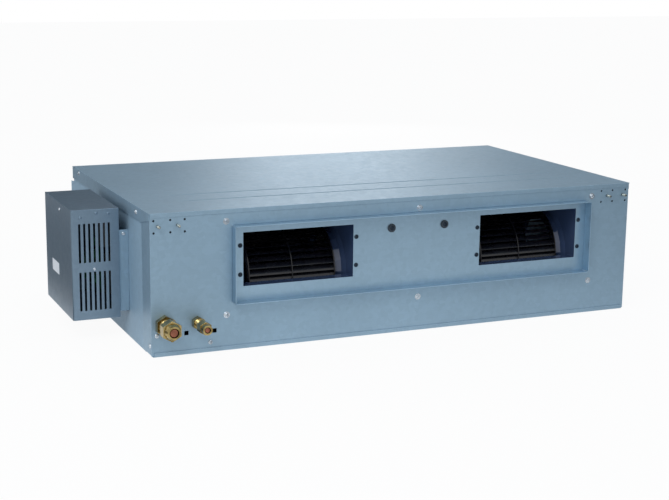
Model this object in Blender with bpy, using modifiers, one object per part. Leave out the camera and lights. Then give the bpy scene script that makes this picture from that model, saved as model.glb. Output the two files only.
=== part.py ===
"""Ducted indoor unit for hidden fitting above a ceiling.

A folded sheet-metal casing holds two double-inlet blowers on one motor shaft, which
blow out through the discharge collar at the front. Behind them lie a sloping finned
coil over its drain pan, and a return opening with a filter that slides out sideways.
The control box stands off the left side. Sizes are in metres, +Z is up and the
discharge side faces -Y. The origin is the bottom centre of the whole unit.
"""

import math

import bmesh
import bpy
from mathutils import Matrix, Vector

# Sheet metal
sheet = 0.0012
gap = 0.0003            # between faces that touch
relief = 0.0025         # corner relief where two folds meet
fold_radius = 0.0015
flange = 0.012          # narrow inner flange

# Casing
body_width = 1.115
body_depth = 0.645
body_height = 0.290
front_lip = 0.0085
cover_lip = 0.0275      # side lips of the top cover
lip_nose = 0.014        # height of those lips at their front end
return_depth = 0.060    # how far the front panel wraps round the sides
panel_lap = 0.015       # side panel under that wrap
pan_lip = 0.020
bead_width = 0.008
bead_depth = 0.0008
bead_margin = 0.098     # from the sides to the ends of the beads
bead_places = (0.115, 0.187)
duct_reach = 0.0266     # return duct flange behind the casing
duct_low = 0.0225
duct_head = 0.038       # from the duct flange's top to the casing's top

# Discharge collar and fan plate
collar_left_margin = 0.171   # from the casing's sides to the collar
collar_right_margin = 0.111
collar_head = 0.0335    # from the collar's top to the casing's top
collar_foot = 0.0315    # from the collar's floor to the mouths' floor
collar_reach = 0.020
collar_slot = 0.0022    # open seam at each corner of the collar
seat_side = 0.024
seat_top = 0.018
seat_low = 0.034
mouth_margin = 0.0246   # from the collar's sides to the mouths
mouth_head = 0.0507     # from the mouths' top to the casing's top
mouth_drop = 0.0015     # mouths' floor below the wheels' axis
motor_bay = 0.2988      # between the two mouths
mouth_rim_side = 0.016
mouth_rim_level = 0.007

# Blowers
wheel_front = 0.040     # from the casing's front to the wheels
wheel_foot = 0.040      # from the floor to the wheels
wheel_head = 0.070      # from the wheels to the casing's top
wheel_side = 0.02425    # from a mouth's sides to the wheel's ends
shaft_radius = 0.00635
blade_depth = 0.015
blade_thickness = 0.0011
blade_count = 26
blade_lean = math.radians(9.0)
ring_thickness = 0.0026
disc_thickness = 0.0016
hub_radius = 0.016
hub_length = 0.036
tongue_gap = 0.006      # scroll wall to wheel at the cut-off
bell_step = 0.0185      # from the wheel's rim in to the throat of the inlet bell
bell_flare = 0.020
bell_running_gap = 0.003
bell_lip = 0.0006
bell_steps = 2
scroll_steps = 16

# Motor and its cradle
motor_radius = 0.062
motor_half = 0.066
boss_radius = 0.017
boss_length = 0.022
ring_wall = 0.0055
ring_width = 0.012
cradle_thickness = 0.002
cradle_foot = 0.070     # from the shaft's axis down to the cradle's lower edge
cradle_head = 0.052     # from the cradle's upper edge to the casing's top
bolt_pitch = 0.1245
bolt_drop = 0.012       # bolts below the cradle's upper edge
bolt_head_radius = 0.009
bolt_head_height = 0.004
bolt_radius = 0.003
bolt_tail = 0.012

# Coil and drain
coil_clear = 0.085      # from the wheels back to the coil's lowest front corner
coil_rest = 0.1716      # depth that the coil's slope leaves free behind it
coil_head = 0.0893      # height that the coil's slope leaves free above it
coil_thickness = 0.050
coil_left_margin = 0.125
coil_right_margin = 0.060
fin_grooves = 22
fin_groove_width = 0.016
fin_groove_depth = 0.004
end_margin = 0.005
bend_radius = 0.0048    # tube of the return bends
bend_count = 6
bend_reach = 0.022
header_radius = 0.011
liquid_header_radius = 0.0065
header_stand = 0.027    # header axis from the coil's end plate
stub_radius = 0.0048
stub_count = 4
pan_wall = 0.0022
pan_height = 0.034
pan_margin = 0.014      # drain pan beyond the coil, front and rear
pan_clear = 0.005       # drain pan's walls beyond the headers and return bends
spout_radius = 0.0125
spout_bore = 0.0095
spout_height = 0.0195
spout_reach = 0.026
spout_flange = 0.0035

# Refrigerant unions
union_reach = 0.065     # nut's end beyond the casing's front
gas_across = 0.029      # from the casing's left side
gas_height = 0.064
gas_tube = 0.0095
gas_flats = 0.037
liquid_across = 0.097
liquid_height = 0.0635
liquid_tube = 0.0060
liquid_flats = 0.0235
thread_wall = 0.0048    # union's tube bore to its thread
union_hex_length = 0.013
nut_length = 0.034
nut_hex_share = 0.62
nut_wall = 0.0036
plug_recess = 0.0015
union_tail = 0.012
port_width = 0.009
port_offset_gas = 0.045
port_offset_liquid = 0.036
port_drop = 0.0205

# Hanger plates behind the front corners
hanger_width = 0.080
hanger_foot = 0.047     # from the casing's top down to the plate's lower edge
hanger_head = 0.0075
hanger_columns = (0.0095, 0.0435, 0.0730)
hanger_row_drops = (0.0395, 0.0150)
hanger_hole = 0.0026
stud_places = (0.0175, 0.0580)
stud_drop = 0.0260
stud_radius = 0.0025
stud_reach = 0.013

# Control box
box_reach = 0.1165      # outer face beyond the casing's left side
box_gap = 0.018
box_front = 0.160
box_length = 0.242
box_low = 0.0465
box_head = 0.0145       # from the box's top to the casing's top
box_fold = 0.004
slot_count = 7
slot_pitch = 0.01015
slot_width = 0.0044
slot_head = 0.0285      # from the upper row to the box's top
slot_margin = 0.0168    # outer face to the first slot's middle
slot_low = 0.0190       # box's underside to the lower row
slot_bar = 0.0195       # between the two rows
bracket_low = 0.058
bracket_head = 0.061    # from the channel's top to the casing's top
bracket_leg = 0.022
board_thickness = 0.0016
board_stand = 0.012
board_front = 0.095     # from the box's front to the board
board_rear = 0.020
board_foot = 0.030
board_head = 0.025
post_radius = 0.003
post_inset = 0.008
relay_height = 0.016
transformer_height = 0.030
connector_height = 0.010
terminal_front = 0.040  # from the box's front to the terminal block
terminal_width = 0.026
terminal_depth = 0.018
terminal_foot = 0.040
terminal_count = 6
terminal_rim = 0.004    # beside the wells
terminal_rib = 0.005    # between the wells
capacitor_radius = 0.017
capacitor_length = 0.062
capacitor_front = 0.055
capacitor_head = 0.025
capacitor_gap = 0.018   # above the terminal block
bush_radius = 0.011
bush_bore = 0.007
bush_depth = 0.300
bush_drop = 0.130       # bush below the casing's top
bush_head = 0.003

# Filter and its track
filter_thickness = 0.010
filter_bar = 0.010
filter_windows = 8
mesh_thickness = 0.0008
filter_clearance = 0.0008
rail_lip = 0.011
return_margin = 0.085
return_low = 0.040
return_head = 0.054
pull_reach = 0.012
foam_thickness = 0.005

# Places worked out from the sizes
total_width = box_reach + body_width + spout_reach
total_depth = union_reach + body_depth + duct_reach
left = -total_width / 2 + box_reach
right = left + body_width
front = -total_depth / 2 + union_reach
back = front + body_depth
collar_left = left + collar_left_margin
collar_right = right - collar_right_margin
blower_middle = (collar_left + collar_right) / 2
wheel_radius = (body_height - wheel_foot - wheel_head) / 2
shaft_height = wheel_foot + wheel_radius
shaft_depth = wheel_front + wheel_radius
shaft_y = front + shaft_depth
bell_radius = wheel_radius - bell_step
mouth_width = (collar_right - collar_left - 2 * mouth_margin - motor_bay) / 2
mouth_pitch = mouth_width + motor_bay
mouth_low = shaft_height - mouth_drop
mouth_top = body_height - mouth_head
wheel_half = mouth_width / 2 - wheel_side
collar_low = mouth_low - collar_foot
collar_top = body_height - collar_head
cradle_low = shaft_height - cradle_foot
cradle_top = body_height - cradle_head
bolt_height = cradle_top - bolt_drop
coil_front = shaft_depth + wheel_radius + coil_clear
coil_run = body_depth - coil_front - coil_rest
coil_rise = body_height - coil_head
coil_slope = math.atan2(coil_run, coil_rise)
coil_height = math.hypot(coil_run, coil_rise)
duct_top = body_height - duct_head
return_top = body_height - return_head
hanger_low = body_height - hanger_foot
hanger_top = body_height - hanger_head
stud_height = body_height - stud_drop
box_height = body_height - box_low - box_head
slot_height = (box_height - slot_low - slot_bar - slot_head) / 2
bracket_top = body_height - bracket_head
bush_height = body_height - bush_drop


def skin(count):
    """Distance taken by a number of touching sheets."""
    return count * (sheet + gap)


deck = front + skin(4)  # first plane behind the fan plate

FINISHES = {
    "galvanised": ((0.30, 0.40, 0.49), 0.42, 0.75),
    "grey_box": ((0.20, 0.27, 0.31), 0.48, 0.55),
    "black_wheel": ((0.018, 0.018, 0.022), 0.45, 0.0),
    "dark_sheet": ((0.075, 0.095, 0.14), 0.30, 0.7),
    "steel": ((0.46, 0.47, 0.48), 0.28, 1.0),
    "motor_paint": ((0.05, 0.055, 0.06), 0.45, 0.1),
    "rubber": ((0.02, 0.02, 0.02), 0.85, 0.0),
    "aluminium": ((0.62, 0.65, 0.67), 0.38, 1.0),
    "copper": ((0.60, 0.24, 0.12), 0.30, 1.0),
    "brass": ((0.58, 0.42, 0.12), 0.28, 1.0),
    "white_plastic": ((0.72, 0.72, 0.70), 0.5, 0.0),
    "grey_plastic": ((0.12, 0.13, 0.14), 0.5, 0.0),
    "circuit_board": ((0.03, 0.14, 0.06), 0.5, 0.0),
    "foam": ((0.03, 0.03, 0.035), 0.95, 0.0),
    "filter_net": ((0.05, 0.06, 0.07), 0.9, 0.0),
}

TO_FRONT = (math.pi / 2, 0.0, 0.0)   # turns local +Z to -Y
TO_RIGHT = (0.0, math.pi / 2, 0.0)   # turns local +Z to +X


def clear_scene():
    for obj in list(bpy.data.objects):
        bpy.data.objects.remove(obj, do_unlink=True)
    tools = bpy.data.collections.get("cutters") or bpy.data.collections.new("cutters")
    if tools.name not in bpy.context.scene.collection.children:
        bpy.context.scene.collection.children.link(tools)


def finish(obj, kind):
    """Give a sub-part its own material."""
    colour, roughness, metallic = FINISHES[kind]
    material = bpy.data.materials.new(obj.name + "_" + kind)
    material.use_nodes = True
    shader = material.node_tree.nodes["Principled BSDF"]
    shader.inputs["Base Color"].default_value = (*colour, 1.0)
    shader.inputs["Roughness"].default_value = roughness
    shader.inputs["Metallic"].default_value = metallic
    obj.data.materials.clear()
    obj.data.materials.append(material)
    return obj


def new_object(name, bm, location=(0.0, 0.0, 0.0), rotation=(0.0, 0.0, 0.0)):
    mesh = bpy.data.meshes.new(name)
    bm.to_mesh(mesh)
    bm.free()
    obj = bpy.data.objects.new(name, mesh)
    obj.location = location
    obj.rotation_euler = rotation
    bpy.context.scene.collection.objects.link(obj)
    return obj


def box(name, low, high, location=(0.0, 0.0, 0.0), rotation=(0.0, 0.0, 0.0)):
    """Box between two corners, given in the object's own axes."""
    low, high = Vector(low), Vector(high)
    size = high - low
    bm = bmesh.new()
    place = Matrix.Translation((low + high) / 2) @ Matrix.Diagonal((*size, 1.0))
    bmesh.ops.create_cube(bm, size=1.0, matrix=place)
    return new_object(name, bm, location, rotation)


def rod(name, radius, start, end, location, rotation, sides=16):
    """Cylinder along its local Z from start to end; six sides make a hexagon."""
    bm = bmesh.new()
    place = Matrix.Translation((0.0, 0.0, (start + end) / 2))
    bmesh.ops.create_cone(bm, cap_ends=True, segments=sides, radius1=radius, radius2=radius,
                          depth=end - start, matrix=place)
    return new_object(name, bm, location, rotation)


def turned(name, profile, location, rotation, steps=24, closed=False):
    """Turned shape round its local Z, from (radius, height) points run from top to bottom."""
    bm = bmesh.new()
    verts = [bm.verts.new((radius, 0.0, height)) for radius, height in profile]
    for first, second in zip(verts, verts[1:]):
        bm.edges.new((first, second))
    if closed:
        bm.edges.new((verts[-1], verts[0]))
    obj = new_object(name, bm, location, rotation)
    screw = obj.modifiers.new("Turn", "SCREW")
    screw.axis = "Z"
    screw.angle = math.tau
    screw.steps = steps
    screw.render_steps = steps
    screw.use_merge_vertices = True
    screw.merge_threshold = 0.00001
    return obj


def tube(name, points, radius, roundness=2):
    """Round tube through points, with filled ends."""
    curve = bpy.data.curves.new(name, "CURVE")
    curve.dimensions = "3D"
    curve.bevel_depth = radius
    curve.bevel_resolution = roundness
    curve.use_fill_caps = True
    spline = curve.splines.new("POLY")
    spline.points.add(len(points) - 1)
    for point, place in zip(spline.points, points):
        point.co = (*place, 1.0)
    obj = bpy.data.objects.new(name, curve)
    bpy.context.scene.collection.objects.link(obj)
    return obj


def rounded_corner(before, corner, after, radius, steps=5):
    """Points of a bend of the given radius at a square corner of a route."""
    before, corner, after = Vector(before), Vector(corner), Vector(after)
    inward = (before - corner).normalized()
    onward = (after - corner).normalized()
    centre = corner + (inward + onward) * radius
    angles = [math.pi / 2 * index / steps for index in range(steps + 1)]
    return [centre - onward * radius * math.cos(angle) - inward * radius * math.sin(angle)
            for angle in angles]


def prism(bm, outline, start, end, turn=0.0):
    """Add a flat (y, z) outline to bm, pulled along X and turned about X."""
    spin = Matrix.Rotation(turn, 3, "X")
    verts = [bm.verts.new(spin @ Vector((start, y, z))) for y, z in outline]
    face = bm.faces.new(verts)
    pulled = bmesh.ops.extrude_face_region(bm, geom=[face])["geom"]
    moved = [item for item in pulled if isinstance(item, bmesh.types.BMVert)]
    bmesh.ops.translate(bm, verts=moved, vec=(end - start, 0.0, 0.0))


def extruded(name, outline, start, end, location=(0.0, 0.0, 0.0)):
    """Solid of a flat (y, z) outline pulled along X."""
    bm = bmesh.new()
    prism(bm, outline, start, end)
    bmesh.ops.recalc_face_normals(bm, faces=bm.faces)
    return new_object(name, bm, location)


def thicken(obj, thickness):
    """Give an open surface its thickness, on the side away from its normals."""
    solid = obj.modifiers.new("Sheet", "SOLIDIFY")
    solid.solidify_mode = "NON_MANIFOLD"
    solid.nonmanifold_thickness_mode = "CONSTRAINTS"
    solid.nonmanifold_boundary_mode = "NONE"
    solid.thickness = thickness
    solid.offset = -1.0
    return obj


def flap(length, depth, inset=relief):
    """Plain flap along an edge of the given length."""
    return (inset, length - inset, [(inset, depth), (length - inset, depth)])


def folded(name, origin, across, along, outline, flaps, thickness=sheet, radius=fold_radius):
    """Sheet folded from a flat outline.

    The outline runs counter-clockwise seen from outside, in steps of the vectors across
    and along. flaps maps an edge's number to its start and end along that edge and the
    (run, depth) points of its free edge; it folds away from the outside.
    """
    origin, across, along = Vector(origin), Vector(across), Vector(along)
    inward = -across.cross(along)
    bm = bmesh.new()
    ring, bases = [], {}
    for number, (u, v) in enumerate(outline):
        corner = origin + across * u + along * v
        next_u, next_v = outline[(number + 1) % len(outline)]
        edge = origin + across * next_u + along * next_v - corner
        direction = edge.normalized()
        ring.append(bm.verts.new(corner))
        if number in flaps:
            start, end, _ = flaps[number]
            first = ring[-1] if start == 0.0 else bm.verts.new(corner + direction * start)
            if first is not ring[-1]:
                ring.append(first)
            ends_at_corner = edge.length - end < relief / 10
            last = None if ends_at_corner else bm.verts.new(corner + direction * end)
            if last is not None:
                ring.append(last)
            bases[number] = (first, last, corner, direction)
    bm.faces.new(ring)
    folds = []
    for number, (first, last, corner, direction) in bases.items():
        if last is None:
            last = ring[(ring.index(first) + 1) % len(ring)]
        free = [bm.verts.new(corner + direction * run + inward * depth)
                for run, depth in flaps[number][2]]
        bm.faces.new([last, first, *free])
        folds.append(bm.edges.get((first, last)))
    if folds and radius > 0.0:
        bmesh.ops.bevel(bm, geom=folds, offset=radius, segments=2, profile=0.5, affect="EDGES")
    return thicken(new_object(name, bm), thickness)


def baked(pieces):
    """One mesh, in world coordinates, of several finished objects, which are removed."""
    bpy.context.view_layer.update()
    graph = bpy.context.evaluated_depsgraph_get()
    bm = bmesh.new()
    for piece in pieces:
        mesh = bpy.data.meshes.new_from_object(piece.evaluated_get(graph))
        mesh.transform(piece.matrix_world)
        bm.from_mesh(mesh)
        bpy.data.meshes.remove(mesh)
    bmesh.ops.remove_doubles(bm, verts=bm.verts, dist=0.000001)
    bmesh.ops.recalc_face_normals(bm, faces=bm.faces)
    for piece in pieces:
        bpy.data.objects.remove(piece, do_unlink=True)
    return bm


def combine(obj, pieces, operation):
    tool = new_object(obj.name + "_" + operation.lower(), baked(pieces))
    bpy.context.scene.collection.objects.unlink(tool)
    bpy.data.collections["cutters"].objects.link(tool)
    tool.hide_render = True
    tool.display_type = "WIRE"
    boolean = obj.modifiers.new(operation.title(), "BOOLEAN")
    boolean.operation = operation
    boolean.solver = "EXACT"
    boolean.object = tool
    return obj


def cut(obj, *pieces):
    return combine(obj, pieces, "DIFFERENCE")


def fuse(obj, *pieces):
    return combine(obj, pieces, "UNION")


def top_cover():
    lip = [(relief, lip_nose), (return_depth, cover_lip), (body_depth - relief, cover_lip)]
    back_lip = [(body_depth - run, depth) for run, depth in reversed(lip)]
    flaps = {
        0: flap(body_width, front_lip),
        1: (relief, body_depth - relief, lip),
        2: flap(body_width, front_lip),
        3: (relief, body_depth - relief, back_lip),
    }
    outline = [(0, 0), (body_width, 0), (body_width, body_depth), (0, body_depth)]
    cover = folded("top_cover", (left, front, body_height), (1, 0, 0), (0, 1, 0), outline, flaps,
                   sheet, 0.0)
    beads = []
    for place in bead_places:
        y, third = front + place, bead_width / 6
        outline = [(y - 5 * third, body_height + bead_depth), (y - third, body_height - bead_depth),
                   (y + third, body_height - bead_depth), (y + 5 * third, body_height + bead_depth)]
        beads.append(extruded("bead", outline, left + bead_margin, right - bead_margin))
    return finish(cut(cover, *beads), "galvanised")


def spout_hole():
    """Way through the right side for the drain spout."""
    return rod("spout_hole", spout_radius + gap, right - skin(6), right,
               (0.0, drain_middle(), spout_height), TO_RIGHT, 20)


def bottom_pan():
    low_x = left + skin(3)
    width = body_width - 2 * skin(3)
    front_clear = skin(2) + flange + relief
    rear_clear = skin(3) + flange + relief
    side = (front_clear, body_depth - rear_clear,
            [(front_clear, pan_lip), (body_depth - rear_clear, pan_lip)])
    other = (rear_clear, body_depth - front_clear,
             [(rear_clear, pan_lip), (body_depth - front_clear, pan_lip)])
    flaps = {0: side, 1: flap(width, pan_lip), 2: other, 3: flap(width, front_lip)}
    outline = [(0, 0), (body_depth, 0), (body_depth, width), (0, width)]
    pan = folded("bottom_pan", (low_x, front, 0.0), (0, 1, 0), (1, 0, 0), outline, flaps)
    return finish(cut(pan, spout_hole()), "galvanised")


def hanger_marks(x_side, inward):
    """Columns, rows and studs of a hanger plate, counted from one side of the casing."""
    holes = [(x_side + inward * column, body_height - drop)
             for column in hanger_columns for drop in hanger_row_drops]
    studs = [(x_side + inward * place, stud_height) for place in stud_places]
    return holes, studs


def union_places():
    return {"gas": (left + gas_across, gas_height, gas_tube, gas_flats, port_offset_gas),
            "liquid": (left + liquid_across, liquid_height, liquid_tube, liquid_flats,
                       port_offset_liquid)}


def front_panel():
    width = body_width - 2 * skin(1)
    height = body_height - 2 * skin(1)
    flaps = {0: flap(width, flange), 1: flap(height, return_depth - skin(1)),
             2: flap(width, flange), 3: flap(height, return_depth - skin(1))}
    outline = [(0, 0), (width, 0), (width, height), (0, height)]
    face_y = front + skin(1)
    panel = folded("front_panel", (left + skin(1), face_y, skin(1)), (1, 0, 0), (0, 0, 1),
                   outline, flaps)
    near, far = face_y - sheet, face_y + 2 * sheet
    tools = [box("collar_hole", (collar_left - gap, near, collar_low - gap),
                 (collar_right + gap, far, collar_top + gap))]
    for x, z, tube_radius, _, port_offset in union_places().values():
        hole = tube_radius + thread_wall + gap
        tools.append(rod("union_hole", hole, -far, -near, (x, 0.0, z), TO_FRONT, 20))
        port = (x + port_offset, z - port_drop)
        tools.append(box("port", (port[0] - port_width / 2, near, port[1] - port_width / 2),
                         (port[0] + port_width / 2, far, port[1] + port_width / 2)))
    for side, inward in ((left, 1), (right, -1)):
        holes, studs = hanger_marks(side, inward)
        for x, z in holes:
            tools.append(rod("hole", hanger_hole, -far, -near, (x, 0.0, z), TO_FRONT, 8))
        for x, z in studs:
            tools.append(rod("hole", stud_radius + gap, -far, -near, (x, 0.0, z), TO_FRONT, 12))
    return finish(cut(panel, *tools), "galvanised")


def hanger_plate(name, side, inward):
    """Nut plate behind a front corner, with its two studs through the front panel."""
    y = front + skin(2)
    edges = sorted((side + inward * (skin(1) + sheet + gap + fold_radius),
                    side + inward * (skin(1) + hanger_width)))
    plate = box(name, (edges[0], y, hanger_low), (edges[1], y + 2 * sheet, hanger_top))
    studs = [rod("stud", stud_radius, -(y + sheet), -(front - stud_reach), (x, 0.0, z), TO_FRONT, 12)
             for x, z in hanger_marks(side, inward)[1]]
    return finish(fuse(plate, *studs), "steel")


def side_outline(with_duct_tab):
    """Side panel's outline as (y, z), counter-clockwise seen from the right."""
    near = front + return_depth - panel_lap
    far = back - skin(1)
    low, high = gap, body_height - skin(1)
    outline = [(near, low), (far, low)]
    if with_duct_tab:
        outline += [(far, duct_low), (back + duct_reach, duct_low),
                    (back + duct_reach, duct_top), (far, duct_top)]
    return outline + [(far, high), (near, high)]


def left_side_panel():
    outline = [(z, y) for y, z in side_outline(True)]
    outline.reverse()
    outline = outline[-1:] + outline[:-1]
    length = body_depth - return_depth + panel_lap - skin(1)
    clear = skin(2) + flange + relief
    flaps = {1: (0.0, length - clear, [(0.0, flange), (length - clear, flange)])}
    panel = folded("left_side_panel", (left + skin(2), 0.0, 0.0), (0, 0, 1), (0, 1, 0),
                   outline, flaps)
    hole = rod("cable_hole", bush_radius + gap, left, left + skin(4),
               (0.0, front + bush_depth, bush_height), TO_RIGHT, 20)
    return finish(cut(panel, hole), "galvanised")


def right_side_panel():
    outline = side_outline(False)
    length = body_depth - return_depth + panel_lap - skin(1)
    clear = skin(2) + flange + relief
    flaps = {2: (clear, length, [(clear, flange), (length, flange)])}
    panel = folded("right_side_panel", (right - skin(2), 0.0, 0.0), (0, 1, 0), (0, 0, 1),
                   outline, flaps)
    return finish(cut(panel, spout_hole()), "galvanised")


def return_frame():
    width = body_width - 2 * skin(3)
    height = body_height - 2 * skin(1)
    flaps = {0: flap(height, flange), 1: flap(width, flange), 2: flap(height, flange)}
    outline = [(0, 0), (height, 0), (height, width), (0, width)]
    face = back - skin(1)
    frame = folded("return_frame", (left + skin(3), face, skin(1)), (0, 0, 1), (1, 0, 0),
                   outline, flaps)
    hole = box("return_hole", (left + return_margin, face - 2 * sheet, return_low),
               (right - return_margin, face + sheet, return_top))
    return finish(cut(frame, hole), "galvanised")


def outlet_collar():
    """Duct collar: four walls through the front panel on a seat behind it."""
    seat_y = front + skin(2)
    outer = ((collar_left - seat_side, collar_low - seat_low),
             (collar_right + seat_side, collar_top + seat_top))
    wall = ((collar_left, collar_low), (collar_right, collar_top))
    loops = []
    bm = bmesh.new()
    for (low, high), y in ((outer, seat_y), (wall, seat_y), (wall, front - collar_reach)):
        corners = [(low[0], low[1]), (high[0], low[1]), (high[0], high[1]), (low[0], high[1])]
        verts = [bm.verts.new((x, y, z)) for x, z in corners]
        loops.append([bm.edges.new((verts[index], verts[(index + 1) % 4])) for index in range(4)])
    bmesh.ops.bridge_loops(bm, edges=loops[0] + loops[1])
    bmesh.ops.bridge_loops(bm, edges=loops[1] + loops[2])
    bmesh.ops.recalc_face_normals(bm, faces=bm.faces)
    seat = max(bm.faces, key=lambda face: face.calc_center_median().y)
    if seat.normal.y > 0.0:
        bmesh.ops.reverse_faces(bm, faces=bm.faces)
    collar = thicken(new_object("outlet_collar", bm), sheet)
    half = collar_slot / 2 + sheet
    slots = [box("seam", (x - half, front - 2 * collar_reach, z - half),
                 (x + half, front + skin(1), z + half))
             for x in (collar_left, collar_right) for z in (collar_low, collar_top)]
    return finish(cut(collar, *slots), "galvanised")


def mouth_edges(side):
    """Left and right edge of a blower's mouth; side is -1 or 1."""
    centre = blower_middle + side * mouth_pitch / 2
    return centre - mouth_width / 2, centre + mouth_width / 2


def bolt_places():
    return [blower_middle - bolt_pitch / 2, blower_middle + bolt_pitch / 2]


def fan_plate():
    y = front + skin(3)
    plate = box("fan_plate", (collar_left - seat_side, y, collar_low - seat_low),
                (collar_right + seat_side, y + sheet, collar_top + seat_top))
    tools = []
    for side in (-1, 1):
        low_x, high_x = mouth_edges(side)
        tools.append(box("mouth", (low_x, y - sheet, mouth_low), (high_x, y + 2 * sheet, mouth_top)))
    for x in bolt_places():
        tools.append(rod("bolt_hole", bolt_radius + 2 * gap, -(y + 2 * sheet), -(y - sheet),
                         (x, 0.0, bolt_height), TO_FRONT, 8))
    return finish(cut(plate, *tools), "galvanised")


def scroll_outline(offset):
    """Blower scroll as (y, z): mouth floor, tongue, spiral round the wheel, mouth roof.

    The wall's inner side has offset 0; its outer side has the sheet as offset.
    """
    start_radius = wheel_radius + tongue_gap
    end_radius = mouth_top - shaft_height
    sweep = 1.5 * math.pi
    drop = shaft_height - mouth_low + offset
    first = math.asin(max(drop, 0.0) / (start_radius + offset))
    points = [(deck - 2 * sheet if offset == 0.0 else deck, mouth_low - offset)]
    for index in range(scroll_steps + 1):
        angle = first + (sweep - first) * index / scroll_steps
        radius = start_radius + (end_radius - start_radius) * angle / sweep + offset
        points.append((shaft_y - radius * math.cos(angle), shaft_height - radius * math.sin(angle)))
    points.append((deck - 2 * sheet if offset == 0.0 else deck, mouth_top + offset))
    return points


def inlet_bell(x, outward):
    """Rolled inlet bell in a side of the scroll; outward is -1 or 1 along X."""
    depth = mouth_width / 2 + sheet - wheel_half - bell_running_gap
    outside, inside = [], []
    for index in range(bell_steps + 1):
        angle = math.pi / 2 * index / bell_steps
        rise = math.sin(angle)
        reach = math.cos(angle)
        outside.append((bell_radius + bell_flare * (1 - reach), -depth + (depth + bell_lip) * rise))
        inside.append((bell_radius + bell_flare - (bell_flare - sheet) * reach,
                       -depth + (depth - sheet / 2) * rise))
    edge = bell_radius + bell_flare + 2 * sheet
    loop = [(edge, bell_lip), (edge, -sheet / 2)] + inside[::-1] + outside
    rotation = (0.0, outward * math.pi / 2, 0.0)
    return turned("bell", loop, (x, shaft_y, shaft_height), rotation, 20, closed=True)


def fan_housing(name, side):
    low_x, high_x = mouth_edges(side)
    shell = extruded(name, scroll_outline(sheet), low_x - sheet, high_x + sheet)
    rim = box("rim", (low_x - mouth_rim_side, deck, mouth_low - mouth_rim_level),
              (high_x + mouth_rim_side, deck + sheet, mouth_top + mouth_rim_level))
    fuse(shell, rim)
    hollow = extruded("hollow", scroll_outline(0.0), low_x, high_x)
    inlet = rod("inlet", bell_radius + bell_flare - sheet, low_x - 0.1, high_x + 0.1,
                (0.0, shaft_y, shaft_height), TO_RIGHT, 20)
    cut(shell, hollow)
    cut(shell, inlet)
    fuse(shell, inlet_bell(low_x - sheet, -1), inlet_bell(high_x + sheet, 1))
    return finish(shell, "dark_sheet")


def blade_outline():
    """Forward-curved blade as (y, z) about the wheel's axis, bowed and leaning."""
    tip = wheel_radius - ring_thickness / 4
    root = wheel_radius - blade_depth
    bow = blade_depth * 0.22
    curve = []
    for index in range(3):
        part = index / 2
        radius = root + (tip - root) * part
        across = bow * (4 * part * (1 - part)) - radius * math.sin(blade_lean * part)
        curve.append((across, radius * math.cos(blade_lean * part)))
    front_side = [(y - blade_thickness / 2, z) for y, z in curve]
    rear_side = [(y + blade_thickness / 2, z) for y, z in reversed(curve)]
    return front_side + rear_side


def fan_wheel(name, side):
    """Double-inlet wheel: blades from ring to ring through a middle disc with its hub."""
    centre = (blower_middle + side * mouth_pitch / 2, shaft_y, shaft_height)
    bm = bmesh.new()
    half = wheel_half - ring_thickness / 3
    for index in range(blade_count):
        prism(bm, blade_outline(), -half, half, math.tau * index / blade_count)
    bmesh.ops.recalc_face_normals(bm, faces=bm.faces)
    wheel = new_object(name, bm, centre)
    inner = wheel_radius - blade_depth - ring_thickness / 2
    parts = []
    for end in (-1, 1):
        low = end * (wheel_half - ring_thickness / 2) - ring_thickness / 2
        high = low + ring_thickness
        loop = [(wheel_radius, high), (wheel_radius, low), (inner, low), (inner, high)]
        parts.append(turned("ring", loop, centre, TO_RIGHT, 32, closed=True))
    bore = shaft_radius + gap
    middle_half = disc_thickness / 2
    parts.append(rod("disc", wheel_radius, -middle_half, middle_half, centre, TO_RIGHT, 32))
    fuse(wheel, *parts)
    fuse(wheel, rod("hub", hub_radius, -hub_length / 2, hub_length / 2, centre, TO_RIGHT, 16))
    cut(wheel, rod("bore", bore, -hub_length, hub_length, centre, TO_RIGHT, 16))
    return finish(wheel, "black_wheel")


def motor_shaft():
    reach = mouth_pitch / 2 + hub_length / 2 + boss_length / 2
    shaft = rod("motor_shaft", shaft_radius, -reach, reach,
                (blower_middle, shaft_y, shaft_height), TO_RIGHT, 20)
    return finish(shaft, "steel")


def fan_motor():
    bore = shaft_radius + gap
    cap = motor_radius * 0.9
    half_profile = [(boss_radius, motor_half + boss_length), (boss_radius, motor_half),
                    (cap, motor_half - boss_length / 4), (motor_radius, motor_half * 0.75)]
    loop = half_profile + [(radius, -height) for radius, height in reversed(half_profile)]
    loop += [(bore, -motor_half - boss_length), (bore, motor_half + boss_length)]
    motor = turned("fan_motor", loop, (blower_middle, shaft_y, shaft_height), TO_RIGHT, 20,
                   closed=True)
    return finish(motor, "motor_paint")


def cradle_half():
    """Half the cradle's width: its cheeks stand in the middle of the motor's bosses."""
    return motor_half + boss_length / 2 + cradle_thickness / 2


def motor_mount(name, side):
    inner, outer = boss_radius + gap, boss_radius + ring_wall
    x = blower_middle + side * (cradle_half() - cradle_thickness / 2)
    loop = [(outer, ring_width / 2), (outer, -ring_width / 2), (inner, -ring_width / 2),
            (inner, ring_width / 2)]
    ring = turned(name, loop, (x, shaft_y, shaft_height), TO_RIGHT, 24, closed=True)
    return finish(ring, "rubber")


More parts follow.
